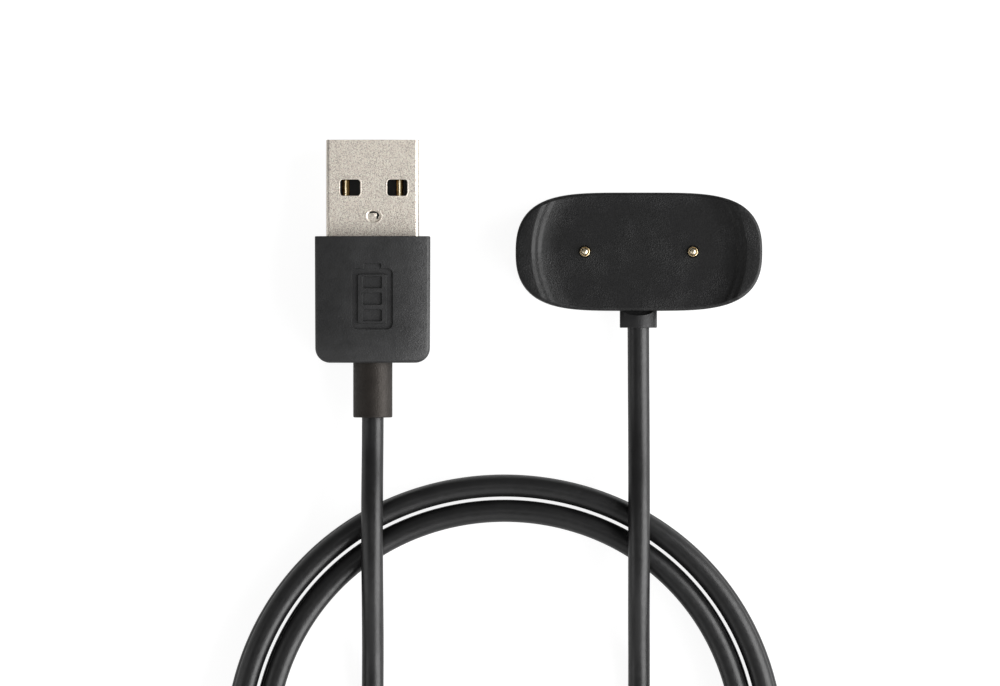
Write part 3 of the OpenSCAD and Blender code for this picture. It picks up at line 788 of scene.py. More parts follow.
class CABLE_OT_stage(bpy.types.Operator):
    """Makes the white table, the soft lamps, the room light and the camera"""

    bl_idname = "cable.stage"
    bl_label = "Table, lamps and camera"

    def execute(self, context):
        stage = context.scene.cable_stage
        corners = [(x * TABLE_REACH, y * TABLE_REACH, TABLE_LEVEL)
                   for x, y in ((-1, -1), (1, -1), (1, 1), (-1, 1))]
        table = mesh_object("table", corners, [(0, 1, 2, 3)])
        table.data.transform(TO_METRES)
        table.data.materials.append(
            table_material(stage.table_colour, stage.table_white, stage.table_mirrored))
        table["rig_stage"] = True
        for name, (place, size, aim) in LAMPS.items():
            soft_lamp(name, place, size, aim, getattr(stage, name))
        world = bpy.data.worlds.new("studio")
        world.use_nodes = True
        room = world.node_tree.nodes["Background"]
        room.inputs["Color"].default_value = (1, 1, 1, 1)
        room.inputs["Strength"].default_value = stage.room_light
        context.scene.world = world
        lens = bpy.data.cameras.new("camera")
        lens.sensor_fit = "AUTO"
        lens.sensor_width = SENSOR_WIDTH
        lens.lens = stage.lens
        lens.clip_start, lens.clip_end = 0.01, 10
        camera = bpy.data.objects.new("camera", lens)
        camera.location = (stage.camera_aim[0], stage.camera_aim[1], stage.camera_height)
        context.scene.collection.objects.link(camera)
        context.scene.camera = camera
        context.scene.view_settings.view_transform = "Standard"
        context.view_layer.update()
        return {"FINISHED"}


# ---- cord ----

# Room round the cord where it goes into the strain relief and the collar
CORD_ROOM = 0.03


def smoothed(points, step):
    """A natural cubic spline through points, sampled at about every step."""
    p = np.array(points, float)
    t = np.r_[0, np.cumsum(np.linalg.norm(np.diff(p, axis=0), axis=1))]
    h, n = np.diff(t), len(p)
    left, right = np.zeros((n, n)), np.zeros((n, 3))
    left[0, 0] = left[-1, -1] = 1
    for i in range(1, n - 1):
        left[i, i - 1:i + 2] = h[i - 1], 2 * (h[i - 1] + h[i]), h[i]
        right[i] = 6 * ((p[i + 1] - p[i]) / h[i] - (p[i] - p[i - 1]) / h[i - 1])
    m = np.linalg.solve(left, right)
    s = np.linspace(0, t[-1], int(t[-1] / step) + 1)
    i = np.clip(np.searchsorted(t, s, side="right") - 1, 0, n - 2)
    u, v, w = (s - t[i])[:, None], (t[i + 1] - s)[:, None], h[i][:, None]
    return (m[i] * v ** 3 + m[i + 1] * u ** 3) / (6 * w) + (p[i] / w - m[i] * w / 6) * v \
        + (p[i + 1] / w - m[i + 1] * w / 6) * u


def eased(t):
    """A step from 0 to 1 that starts and ends softly."""
    t = min(max(t, 0.0), 1.0)
    return t * t * (3 - 2 * t)


def cord_route(cord):
    """The whole centreline of the cord from the plug to the head, in millimetres."""
    radius = cord.diameter / 2 / MM
    coil = []
    for angle in range(COIL_START, COIL_END + 1, COIL_STEP):
        moved = {name: eased((angle - at) / over) for name, (at, over) in COIL_MOVES.items()}
        a = math.radians(angle)
        side, out = math.cos(a) ** 2, moved["out"] - moved["in"]
        r = (cord.inner_turns + cord.turn_step * out + cord.side_step * side * (out - 0.5)
             + cord.layer_shift * side * (0.5 - moved["up"]) + cord.bulge * math.sin(2 * a) ** 2) / MM
        level = radius + cord.layer_step / MM * moved["up"]
        coil.append((COIL_CENTRE[0] + r * math.cos(a), COIL_CENTRE[1] + r * math.sin(a), level))
    route = smoothed(PLUG_ROUTE + coil + HEAD_ROUTE[::-1], cord.ring_step / MM)
    route[:, 2] = np.maximum(route[:, 2], radius)
    return route


def tube_rings(route, radius, sides):
    """Rings round a route, turned as little as can be from one to the next."""
    route = np.array(route, float)
    along = np.gradient(route, axis=0)
    along /= np.linalg.norm(along, axis=1)[:, None]
    up = np.array((0.0, 0.0, 1.0)) if abs(along[0][2]) < 0.9 else np.array((1.0, 0.0, 0.0))
    angles = 2 * np.pi * np.arange(sides) / sides
    rings = []
    for place, heading in zip(route, along):
        up = up - heading * (up @ heading)
        up /= np.linalg.norm(up)
        side = np.cross(heading, up)
        rings.append(place + radius * (np.cos(angles)[:, None] * side + np.sin(angles)[:, None] * up))
    return rings


class CABLE_OT_cord(bpy.types.Operator):
    """Makes the cord with its coil as one soft tube"""

    bl_idname = "cable.cord"
    bl_label = "Cord and coil"

    def execute(self, context):
        cord = context.scene.cable_cord
        route = cord_route(cord)
        # the jacket runs a little way into the strain relief and the collar
        inside = [np.array((0.0, y, 0.0)) for y in (0.9, 0.6, 0.3)]
        tube = np.vstack([*(route[0] + y for y in inside), route, *(route[-1] + y for y in inside[::-1])])
        jacket = loft("cord_jacket", tube_rings(tube, cord.diameter / 2 / MM, cord.sides))
        finish_piece(jacket, "cable",
                     soft_plastic("cord_jacket_pvc", cord.colour, rough=0.37, grain=5, grain_mm=0.012,
                                  wave_mm=0.02, specular=0.5),
                     ("cord_plug_end", "cord_head_end", "cord_coil"), angle=60, flat_faces=False)
        context.scene["cord_route"] = [float(c) for p in route for c in p]
        return {"FINISHED"}


class CABLE_OT_cord_facts(bpy.types.Operator):
    """Does nothing: it finishes at once."""

    bl_idname = "cable.cord_facts"
    bl_label = "Facts of the cord"

    def execute(self, context):
        return {"FINISHED"}


class CABLE_OT_strain_relief(bpy.types.Operator):
    """Makes the plug's strain relief"""

    bl_idname = "cable.strain_relief"
    bl_label = "Strain relief"

    def execute(self, context):
        cord = context.scene.cable_cord
        low, high = box_mm("usb_strain_relief")
        centre, flange = (low + high) / 2, (high[0] - low[0]) / 2
        radius, bore = 2.55, cord.diameter / 2 / MM + CORD_ROOM
        edge, chamfer, socket = cord.relief_edge / MM, 0.08, 1
        front, rear, shoulder = high[1], low[1], high[1] - 1.2
        profile = [(0, front), (flange, front), (flange, shoulder), (radius, shoulder)]
        profile += [(radius - edge + x, rear + edge + y) for x, y in arc((0, 0), edge, 0, -90, 5)]
        profile += [(bore + chamfer, rear), (bore, rear + chamfer), (bore, rear + socket), (0, rear + socket)]
        relief = turned("plug_relief", profile, centre, 72, along_y=True)
        finish_piece(relief, "cable",
                     soft_plastic("relief_pvc", cord.relief_colour, rough=0.48, grain=4.5, grain_mm=0.05,
                                  wave_mm=0.03, specular=0.33, gloss=(1, 0.92, 0.85)),
                     ("usb_strain_relief",))
        return {"FINISHED"}


# ---- charging head ----

# Levels inside the head, in millimetres, as in part.scad: floor, the board's two faces and ceiling
HEAD_FLOOR, BOARD_LOW, BOARD_TOP, HEAD_CEILING = 1.2, 2.2, 3.0, 5.2
# Where posts, pads and ribs start, inside the back's face and the cover's
BACK_ROOT, COVER_ROOT = 0.6, 5.6


def head_radius(head, angles, inset):
    """Distance of the head's outline from its middle, in millimetres, in each direction."""
    a, b = head.width / 2 / MM - inset, head.depth / 2 / MM - inset
    cos, sin = np.abs(np.cos(angles)), np.abs(np.sin(angles))
    low, high = np.zeros_like(angles), np.full_like(angles, 2 * a)
    for _ in range(40):
        middle = (low + high) / 2
        outside = (middle * cos / a) ** head.squareness[0] + (middle * sin / b) ** head.squareness[1] > 1
        low, high = np.where(outside, low, middle), np.where(outside, middle, high)
    return (low + high) / 2


def seat_profile(head, top):
    """The round seat from its floor out to the raised ends, as (radius, level), with eased corners."""
    step, slope, ledge, dish = (
        v / MM for v in (head.seat_step, head.seat_slope, head.seat_ledge, head.seat_dish))
    rim, floor = head.seat_diameter / 2 / MM, top - head.seat_deep / MM
    tilt, run, spare, eased_by = 0.1, 0.3, 0.6, 0.13
    foot, foot_level = rim - 2 * slope - ledge, top - 2 * step - tilt
    hollow = foot_level - floor
    profile = [(foot - dish - spare, floor)]
    profile += [(foot - dish * (1 - k / 10), floor + hollow * (k / 10) ** 2) for k in range(10)]
    corners = [(foot - run, floor + hollow * (1 - run / dish) ** 2), (foot, foot_level),
               (rim - slope - ledge, top - step - tilt), (rim - slope, top - step), (rim, top),
               (rim + spare, top)]
    for before, here, after in zip(corners, corners[1:], corners[2:]):
        here = Vector(here)
        start = here + (Vector(before) - here).normalized() * eased_by
        end = here + (Vector(after) - here).normalized() * eased_by
        for t in (0, 0.25, 0.5, 0.75, 1):
            profile.append(tuple(start * (1 - t) ** 2 + here * 2 * t * (1 - t) + end * t ** 2))
    return sorted(profile)


def head_angles(head, crossings, inset):
    """Directions round the head: evenly spaced ones and those where the outline is at a given radius."""
    angles = set(np.radians(np.arange(0, 360, 0.5)))
    for radius in crossings:
        low, high = 0.0, math.pi / 2
        for _ in range(50):
            middle = (low + high) / 2
            if head_radius(head, np.array([middle]), inset)[0] > radius:
                low = middle
            else:
                high = middle
        angles |= {low, math.pi - low, math.pi + low, 2 * math.pi - low}
    return np.array(sorted(angles))


def head_ring(angles, radii, level):
    """A ring from the distance from the head's middle and the level in each direction."""
    level = np.broadcast_to(level, angles.shape)
    return np.c_[radii * np.cos(angles), radii * np.sin(angles), level]


def outline_ring(head, angles, inset, level):
    """A ring along the head's outline, drawn in by an inset."""
    return head_ring(angles, head_radius(head, angles, inset), level)


def edge_rings(head, angles, level, way):
    """Rings of a shell's rounded outer edge, from its face at a level up (1) or down (-1) the wall."""
    edge = head.edge / MM
    return [outline_ring(head, angles, edge * (1 - math.sin(t)), level + way * edge * (1 - math.cos(t)))
            for t in map(math.radians, (18, 36, 54, 72, 90))]


def wall_rings(head, angles, bevel, lap, inside):
    """Rings of a shell's wall: in at the parting groove, round the lap joint and along the inside."""
    wall, groove, seam = head.wall / MM, head.parting / MM, seam_level()
    return [outline_ring(head, angles, inset, level) for inset, level in (
        (0, seam + bevel), (groove, seam), (wall - lap, seam), (wall - lap, seam + lap),
        (wall, seam + lap), (wall, inside))]


def post(name, place, radius, low, high):
    """A round post between two levels."""
    return turned(name, [(0, low), (radius, low), (radius, high), (0, high)], place, 32)


def block(name, place, size, low, high):
    """An upright block between two levels, with corners of 0.1 mm."""
    outline = rounded_rect(size[0], size[1], 0.1, 3)
    return loft(name, [upright(outline, place, low), upright(outline, place, high)])


def neck_hole():
    """A cutter for the hole that the collar's neck goes through, half in each shell."""
    radius, outer, inner = 1.65, -9, -5.6
    return turned("neck_hole", [(0, outer), (radius, outer), (radius, inner), (0, inner)],
                  (0, 0, seam_level()), 64, along_y=True)


def magnet_rib(head, angles, node):
    """The rib under the cover that holds a magnet, with room for it."""
    low, high = box_mm(node)
    size, centre = high - low, (high + low) / 2
    foot, room, thick = 3.9, 0.05, 0.5
    rib = block("rib", centre, (size[0] + 2 * thick, size[1] + 2 * thick), foot, COVER_ROOT)
    combine(rib, [block("room", centre, (size[0] + 2 * room, size[1] + 2 * room), BOARD_TOP, HEAD_CEILING)],
            "DIFFERENCE")
    middle_of_wall = head.wall / MM / 2
    limit = loft("limit", [outline_ring(head, angles, middle_of_wall, z) for z in (foot, 6)])
    combine(rib, [limit], "INTERSECT")
    return rib


def make_cover(head, plastic):
    """The front cover, with its seat, its ribs and posts inside and its holes."""
    edge, top = head.edge / MM, box_mm("head_front_cover")[1][2]
    radii, levels = map(np.array, zip(*seat_profile(head, top)))
    angles = head_angles(head, radii, edge)
    brink = head_radius(head, angles, edge)
    brim = np.interp(brink, radii, levels)
    reaches = [np.minimum(radius, brink) for radius in radii]
    rings = [head_ring(angles, reach, np.interp(reach, radii, levels)) for reach in reaches]
    rings += [head_ring(angles, brink, brim), *edge_rings(head, angles, brim, -1),
              *wall_rings(head, angles, bevel=0.1, lap=0.55, inside=HEAD_CEILING)]
    cover = loft("head_cover", rings)
    extra = [post("press_post", (x, y), 0.6, BOARD_TOP, COVER_ROOT) for x in (-5, 5) for y in (-1.9, 1.9)]
    extra += [magnet_rib(head, angles, node) for node in ("magnet_left", "magnet_right")]
    combine(cover, extra, "UNION")
    pin = head.pin_pitch / 2 / MM
    # a close hole round the barrel, with a rounded step up to a wider one
    hole = [(0, 4.8), (0.67, 4.8), (0.67, 6.0), (0.8, 6.05), (0.81, 6.34), (0.83, 6.385),
            (0.86, 6.405), (0.86, 6.8), (0, 6.8)]
    holes = [turned("pin_hole", hole, (x, 0), 64) for x in (-pin, pin)]
    combine(cover, [*holes, neck_hole()], "DIFFERENCE")
    finish_piece(cover, "cable", plastic, ("head_front_cover",))


def make_back(head, plastic):
    """The back shell, with the posts under the board and the pads under the magnets."""
    edge = head.edge / MM
    angles = head_angles(head, (), edge)
    back = loft("head_back", [outline_ring(head, angles, edge, 0), *edge_rings(head, angles, 0, 1),
                              *wall_rings(head, angles, bevel=-0.1, lap=0.5, inside=HEAD_FLOOR)])
    extra = [post("board_post", (x, y), 0.8, BACK_ROOT, BOARD_LOW) for x in (-7.1, 7.1) for y in (-1.9, 1.9)]
    extra += [block("magnet_pad", (x, 0), (2.2, 3.8), BACK_ROOT, 3.25) for x in (-11.4, 11.4)]
    combine(back, extra, "UNION")
    combine(back, [neck_hole()], "DIFFERENCE")
    finish_piece(back, "cable", plastic, ("head_back_shell",))


class CABLE_OT_head_shells(bpy.types.Operator):
    """Makes the head's back shell and its front cover with the stepped round seat"""

    bl_idname = "cable.head_shells"
    bl_label = "Head shells"

    def execute(self, context):
        head = context.scene.cable_head
        plastic = eroded_plastic("head_eroded_plastic", head.colour, 0.44)
        make_cover(head, plastic)
        make_back(head, plastic)
        return {"FINISHED"}


def collar_reach(cos, sin):
    """Distance of the collar's outline from its middle: a flat block that swells over the cord."""
    half, high, swell, soft, power = 2.4, 1.1, 0.64, 1.6, 24
    reach = half / max(cos, 1e-6)
    for _ in range(30):
        x = min(reach * cos, half)
        top = high + swell * math.exp(-(x / soft) ** 2)
        reach = 0.5 * reach + 0.5 * ((cos / half) ** power + (sin / top) ** power) ** (-1 / power)
    return reach


class CABLE_OT_collar(bpy.types.Operator):
    """Makes the collar where the cord leaves the head"""

    bl_idname = "cable.collar"
    bl_label = "Cord collar"

    def execute(self, context):
        cord = context.scene.cable_cord
        level, end = seam_level(), box_mm("head_cord_collar")[0][1]
        angles = np.radians(np.arange(0, 360, 2.5))
        cos, sin = np.cos(angles), np.sin(angles)
        flange_half, flange_high, power = 2.5, 1.85, 14
        flange = ((np.abs(cos) / flange_half) ** power + (np.abs(sin) / flange_high) ** power) ** (-1 / power)
        body = np.array([collar_reach(c, s) for c, s in zip(np.abs(cos), np.abs(sin))])

        def ring(radii, y):
            radii = np.broadcast_to(radii, angles.shape)
            return [(r * c, y, level + r * s) for r, c, s in zip(radii, cos, sin)]

        neck, inner, outer, face = 1.6, -5.4, -6.4, -7.6
        bore, edge, chamfer, socket = cord.diameter / 2 / MM + CORD_ROOM, 0.12, 0.06, 0.95
        rings = [ring(flange, inner), ring(flange, outer), ring(neck, outer), ring(neck, face),
                 ring(body - chamfer, face), ring(body, face - chamfer)]
        rings += [ring(body - edge + x, end + edge + y) for x, y in arc((0, 0), edge, 0, -90, 4)]
        rings += [ring(bore + chamfer, end), ring(bore, end + chamfer), ring(bore, end + socket)]
        collar = loft("head_collar", rings)
        # the crescent hollow between the head's wall and the swelling, above the cord and under it
        moon = [(1.95 * math.cos(a), face - 0.04 - 0.62 * math.sin(a)) for a in np.linspace(0, math.pi, 25)]
        for side in (-1, 1):
            levels = (level + side * 0.45, level + side * 2.5)
            combine(collar, [loft("moon", [upright(moon, (0, 0), z) for z in levels])], "DIFFERENCE")
        finish_piece(collar, "cable",
                     soft_plastic("collar_pvc", (0.0155, 0.0155, 0.0158), rough=0.46, grain=5, grain_mm=0.02,
                                  wave_mm=0.02, specular=0.42),
                     ("head_cord_collar",))
        return {"FINISHED"}


def coil_spring(name, x, low, high, radius, wire, turns):
    """A compression spring, wound close over part of a turn at each end."""
    steps, closed, close_step = 24, 0.8, wire * 0.9
    route = []
    for k in range(turns * steps + 1):
        turn = k / steps
        share = min(max((turn - closed) / (turns - 2 * closed), 0), 1)
        ends = min(turn, closed) + max(0, turn - turns + closed)
        level = low + wire / 2 + ends * close_step + share * (high - low - wire - 2 * closed * close_step)
        a = 2 * math.pi * turn
        route.append((x + radius * math.cos(a), radius * math.sin(a), level))
    return loft(name, tube_rings(route, wire / 2, 10))


class CABLE_OT_spring_contacts(bpy.types.Operator):
    """Makes the two gold spring contacts: barrel, plunger and spring"""

    bl_idname = "cable.spring_contacts"
    bl_label = "Spring contacts"

    def execute(self, context):
        head = context.scene.cable_head
        gold = plated("pin_gold", head.gold, 0.2, 0.9)
        steel = plated("spring_steel", (0.55, 0.56, 0.58), 0.28)
        # the barrel from its tail up over its rim and down inside, and the plunger up to its round tip
        barrel_shape = [
            (0, 1.8), (0.3, 1.8), (0.35, 1.86), (0.35, 3.0), (0.97, 3.0), (1.0, 3.03), (1.0, 3.27),
            (0.97, 3.3), (0.7, 3.3), (0.7, 4.9), (0.64, 5.0), (0.64, 6.44), (0.633, 6.475),
            (0.615, 6.495), (0.595, 6.5), (0.58, 6.49), (0.5, 6.36), (0.48, 6.32), (0.48, 6.25),
            (0.55, 6.25), (0.55, 3.4), (0, 3.4)]
        dome = [(0.45 * c, 6.85 + 0.45 * s) for c, s in arc((0, 0), 1, 0, 90, 14)]
        plunger_shape = [(0, 5.42), (0.49, 5.42), (0.52, 5.45), (0.52, 6.19), (0.49, 6.22), (0.45, 6.22),
                         *dome[:-1], (0, 7.3)]
        pin = head.pin_pitch / 2 / MM
        for side, x in (("left", -pin), ("right", pin)):
            barrel = turned("barrel_" + side, barrel_shape, (x, 0), 64)
            finish_piece(barrel, "cable", gold, ("pogo_barrel_" + side,))
            plunger = turned("plunger_" + side, plunger_shape, (x, 0), 64)
            finish_piece(plunger, side + "_plunger", gold, ("pogo_plunger_" + side,))
            spring_low, spring_high = box_mm("pogo_spring_" + side)
            spring = coil_spring("spring_" + side, x, spring_low[2], spring_high[2], radius=0.44,
                                 wire=0.14, turns=head.spring_turns)
            finish_piece(spring, "cable", steel, ("pogo_spring_" + side,),
                         angle=60, flat_faces=False)
            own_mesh(spring)
        return {"FINISHED"}


def wire_pair(tube, node, skin, route_on):
    """The red and the black wire, one on each side, along the route that route_on gives for a side."""
    for side, colour, jacket in ((-1, "red", (0.45, 0.03, 0.02)), (1, "black", (0.015, 0.015, 0.016))):
        route = smoothed(route_on(side), 0.15)
        wire = loft(tube + colour, tube_rings(route, 0.45, 20))
        finish_piece(wire, "cable", plain_body(skin + colour, jacket, 0.4),
                     (node + colour,), angle=60, flat_faces=False)


class CABLE_OT_head_inside(bpy.types.Operator):
    """Finishes what is inside the head: magnets, contact board, wires and solder"""

    bl_idname = "cable.head_inside"
    bl_label = "Inside the head"

    def execute(self, context):
        nickel = plated("magnet_nickel", (0.66, 0.67, 0.69), 0.3)
        for node in ("magnet_left", "magnet_right"):
            dress(node, nickel)
        dress("contact_board", circuit_board())
        dress("head_solder_joints", plated("head_solder", (0.66, 0.67, 0.68), 0.36))
        wire_pair("head_wire_tube_", "head_wire_", "wire_skin_", lambda side: [
            (side * x, y, z) for x, y, z in ((0.5, -5.4, 3.3), (0.5, -5.1, 3.3), (1.0, -4.5, 3.375),
                                             (2.2, -3.4, 3.45), (3, -2.6, 3.45), (3, -1.8, 3.45))])
        return {"FINISHED"}


# ---- plug ----


def plug_place():
    """Middle of the plug, in millimetres: x, the tip's y and z."""
    low, high = box_mm("usb_shell")
    grip_low, grip_high = box_mm("usb_grip")
    return Vector(((low[0] + high[0]) / 2, high[1], (grip_low[2] + grip_high[2]) / 2))


def shell_sleeve(plug, at):
    """The shell before its windows are cut: a sleeve of sheet metal with an eased and flared mouth."""
    low, high = box_mm("usb_shell")
    w, h, rear, tip = high[0] - low[0], high[2] - low[2], low[1], high[1]
    sheet, radius, eased_by, least = plug.sheet / MM, plug.shell_edge / MM, 0.07, 0.12

    def ring(inset, y):
        return crosswise(rounded_rect(w - 2 * inset, h - 2 * inset, max(radius - inset, least), 10), at, y)

    rings = [ring(eased_by, tip), ring(eased_by * 0.3, tip - eased_by * 0.3), ring(0, tip - eased_by),
             ring(0, rear), ring(sheet, rear), ring(sheet, tip - 0.22), ring(sheet - 0.07, tip - 0.03),
             ring(sheet - 0.12, tip)]
    return loft("plug_shell", rings, closed=True)


class CABLE_OT_plug_shell(bpy.types.Operator):
    """Makes the plug's sheet metal shell with its coined windows, clinch tab and seam"""

    bl_idname = "cable.plug_shell"
    bl_label = "Plug shell"

    def execute(self, context):
        plug = context.scene.cable_plug
        at = plug_place()
        low, high = box_mm("usb_shell")
        half_w, face = (high[0] - low[0]) / 2, (high[2] - low[2]) / 2
        shell = shell_sleeve(plug, at)
        mid, top, rim, raised = at[0] + plug.punch_place / MM, at[2] + face, plug.window_rim / MM, 0.035
        hole = (mid, at[1] - plug.clinch_back / MM)

        def window(side, steps):
            w, l = plug.window_size[0] / MM, plug.window_size[1] / MM
            place = (mid + side * plug.window_pitch / 2 / MM, at[1] - plug.window_back / MM)
            return loft("window", [upright(rounded_rect(w + 2 * wider, l + 2 * wider, 0.4 + wider), place,
                                           at[2] + z) for z, wider in steps])

        def oval(steps):
            a, b = plug.clinch[0] / 2 / MM, plug.clinch[1] / 2 / MM
            turn = np.radians(np.arange(0, 360, 5))
            return loft("oval", [upright([((a + wider) * math.cos(t), (b + wider) * math.sin(t))
                                          for t in turn], hole, top + z) for z, wider in steps])

        # coined rims that stand up round the windows, on both faces, and round the clinch
        rims = [window(side, [(z * (face - 0.1), rim + 0.02), (z * face, rim),
                              (z * (face + 0.7 * raised), 0.72 * rim), (z * (face + raised), 0.45 * rim)])
                for side in (-1, 1) for z in (-1, 1)]
        rims.append(oval([(-0.1, 0.37), (0, 0.36), (0.03, 0.27), (0.04, 0.2)]))
        combine(shell, rims, "UNION")
        # the windows with their rounded edges, the clinch's hollow, and the jointed seam on the other face
        wider = [(-face - 0.5, 0.3), (-face - raised, 0.3), (-face, 0.08), (-face + 0.1, 0)]
        wider += [(-z, share) for z, share in wider[::-1]]
        cutters = [window(side, [(z, share * rim) for z, share in wider]) for side in (-1, 1)]
        cutters.append(oval([(-0.13, -0.02), (-0.12, 0.0), (-0.03, 0.07), (0.02, 0.13), (0.04, 0.18),
                             (0.5, 0.2)]))
        seam = [(0, 15), (0, 8.6), (0.7, 8.2), (0.7, 6.6), (0, 6.2), (0, 2.6), (-0.7, 2.2), (-0.7, 0.8),
                (0, 0.4), (0, -5)]
        outline = [(x - 0.03, y) for x, y in seam] + [(x + 0.03, y) for x, y in seam[::-1]]
        cutters.append(loft("seam", [upright(outline, (at[0], 0), at[2] - face + z) for z in (-0.2, 0.12)]))
        combine(shell, cutters, "DIFFERENCE")
        # the slit round the clinch tab: a crescent behind it that hooks round its right side
        slit = [(-0.62, 0.34), (-0.56, 0.5), (-0.36, 0.62), (0.0, 0.655), (0.3, 0.61), (0.54, 0.47),
                (0.7, 0.26), (0.76, 0.0), (0.6, -0.08), (0.57, -0.32), (0.46, -0.4), (0.36, -0.34),
                (0.36, -0.06), (0.3, 0.04), (0.28, 0.24), (0.18, 0.33), (-0.2, 0.36)]
        combine(shell, [loft("slit", [upright(slit, hole, top + z) for z in (-0.5, 0.2)])], "DIFFERENCE")
        metal = blasted_metal("shell_metal_skin", plug.metal, rough=0.56, bent_rough=0.24, middle=at[0],
                              half=half_w)
        finish_piece(shell, "cable", metal, ("usb_shell",), angle=28)

        # the faint pad coined in the tab, where the photograph shows it
        place, normal = on_surface("clinch_pad", shell)
        levels = ((0.8, 0.5, 0.14, -0.06), (0.8, 0.5, 0.14, 0.02), (0.7, 0.4, 0.09, 0.045))
        pad = loft("clinch_pad", [upright(rounded_rect(w, l, r, 4), (-0.08, 0), z) for w, l, r, z in levels])
        turn = normal.to_track_quat("Z", "Y").to_matrix().to_4x4()
        pad.data.transform(Matrix.Translation(place / MM) @ turn)
        finish_piece(pad, "cable", metal)
        return {"FINISHED"}


def battery_cutters(plug, place, floor, top, half_w):
    """Cutters for the battery mark: its outline, its nub and its level bars, with sloping sides."""
    w, l, line = plug.mark_size[0] / MM, plug.mark_size[1] / MM, plug.mark_line / MM
    lean, above = 0.07, top + 0.4

    def follow(outline, y, level):
        """An outline at a level under the grip's crowned face."""
        return [(place[0] + u, place[1] + y + v, level - plug.grip_crown / MM * abs(u / half_w) ** 3)
                for u, v in outline]

    def pocket(outer, y, inner=None):
        """A cutter from (width, length, corner), left standing inside a second such outline."""
        steps = ((floor, 0.0), (top, lean), (above, lean))
        rings = [follow(rounded_rect(outer[0] + 2 * wider, outer[1] + 2 * wider, outer[2] + wider), y, level)
                 for level, wider in steps]
        if inner:
            rings += [follow(rounded_rect(inner[0] - 2 * wider, inner[1] - 2 * wider, inner[2] - wider / 2),
                             y, level) for level, wider in steps[::-1]]
        return loft("pocket", rings, closed=inner is not None)

    room = l - 2 * line
    step = room / plug.mark_bars
    return [pocket((w, l, line), 0, (w - 2 * line, room, line / 3)),
            pocket((2.2, 1.2 * line, 0.18), l / 2 + 0.3 * line),
            *(pocket((w - 4 * line, step - line, 0.12), -room / 2 + (i + 0.5) * step)
              for i in range(plug.mark_bars))]


class CABLE_OT_grip(bpy.types.Operator):
    """Makes the plug's grip, with its rounded rear and the battery mark sunk in it"""

    bl_idname = "cable.grip"
    bl_label = "Plug grip"

    def execute(self, context):
        plug = context.scene.cable_plug
        at = plug_place()
        low, high = box_mm("usb_grip")
        half_w, half_h, length = (high[0] - low[0]) / 2, (high[2] - low[2]) / 2, high[1] - low[1]
        corner, edge, crown = plug.grip_corner / MM, plug.grip_edge / MM, plug.grip_crown / MM
        front, narrowing, fall, fall_long = 0.1, 0.06, plug.grip_fall / MM, 4.2

        def drawn_in(radius, distance):
            """How far a rounding of a radius draws a side in, at a distance from its end."""
            gone = max(radius - distance, 0)
            return radius - math.sqrt(max(radius ** 2 - gone ** 2, 0))

        def ring(d):
            """The grip's section at a distance from its front."""
            rear = length - d
            w = half_w - narrowing * d / length - drawn_in(corner, rear) - drawn_in(front, d)
            h = half_h - drawn_in(edge, rear) - drawn_in(front, d) - fall * max(0, 1 - rear / fall_long) ** 2
            points = []
            for sx, sz, start in ((1, 1, 0), (-1, 1, 90), (-1, -1, 180), (1, -1, 270)):
                points += arc((sx * (w - edge), sz * (h - edge)), edge, start, start + 90, 8)
                if sx * sz > 0:
                    points += [(sx * (w - edge) * (1 - k / 10), sz * h) for k in range(1, 20)]
            crowned = [(x, z * (1 - crown / h * abs(x / w) ** 3)) for x, z in points]
            return crosswise(crowned, at, high[1] - d)

        def round_stops(radius, degrees):
            return {radius * (1 - math.cos(math.radians(a))) for a in degrees}

        # the roundings' rings, those over the fall at the rear, and two that keep the long faces even
        stops = {0.0, 1.5, 12.0, length, *round_stops(front, (30, 60, 90))}
        stops |= {length - d for d in round_stops(corner, range(0, 91, 6))}
        stops |= {length - d for d in round_stops(edge, range(0, 91, 10))}
        stops |= {length - fall_long * k / 10 for k in range(11)}
        kept = []
        for stop in sorted(stops):
            if not kept or stop - kept[-1] > 0.004:
                kept.append(stop)
        grip = loft("plug_grip", [ring(d) for d in kept])

        shell_low, shell_high = box_mm("usb_shell")
        mould_low, mould_high = box_mm("usb_inner_mould")
        seat = rounded_rect(shell_high[0] - shell_low[0] + 0.04, shell_high[2] - shell_low[2] + 0.04, 0.47)
        room = rounded_rect(mould_high[0] - mould_low[0] + 0.02, mould_high[2] - mould_low[2] + 0.02, 0.5)
        inner, step, rear = mould_low[1] + 0.3, mould_low[1] - 1.2, low[1]
        relief_hole = [(0, inner), (3.25, inner), (3.25, step), (2.6, step), (2.6, rear + 0.06),
                       (2.7, rear - 0.04), (2.7, rear - 1), (0, rear - 1)]
        combine(grip, [
            loft("shell_slot", [crosswise(seat, at, y) for y in (high[1] + 1, mould_high[1] - 0.2)]),
            loft("mould_room", [crosswise(room, at, y) for y in (mould_high[1], mould_low[1])]),
            turned("relief_hole", relief_hole, at, 72, along_y=True)], "DIFFERENCE")
        mark_back = 8.1
        top = at[2] + half_h
        outline, nub, *bars = battery_cutters(plug, (at[0], high[1] - mark_back), top - plug.mark_deep / MM,
                                              top, half_w)
        combine(grip, [outline, *bars], "DIFFERENCE")
        combine(grip, [nub], "DIFFERENCE")
        finish_piece(grip, "cable",
                     soft_plastic("grip_pvc_skin", plug.grip_colour, rough=0.45, grain=4.5, grain_mm=0.045,
                                  wave_mm=0.05, specular=0.5),
                     ("usb_grip",), angle=30)
        return {"FINISHED"}


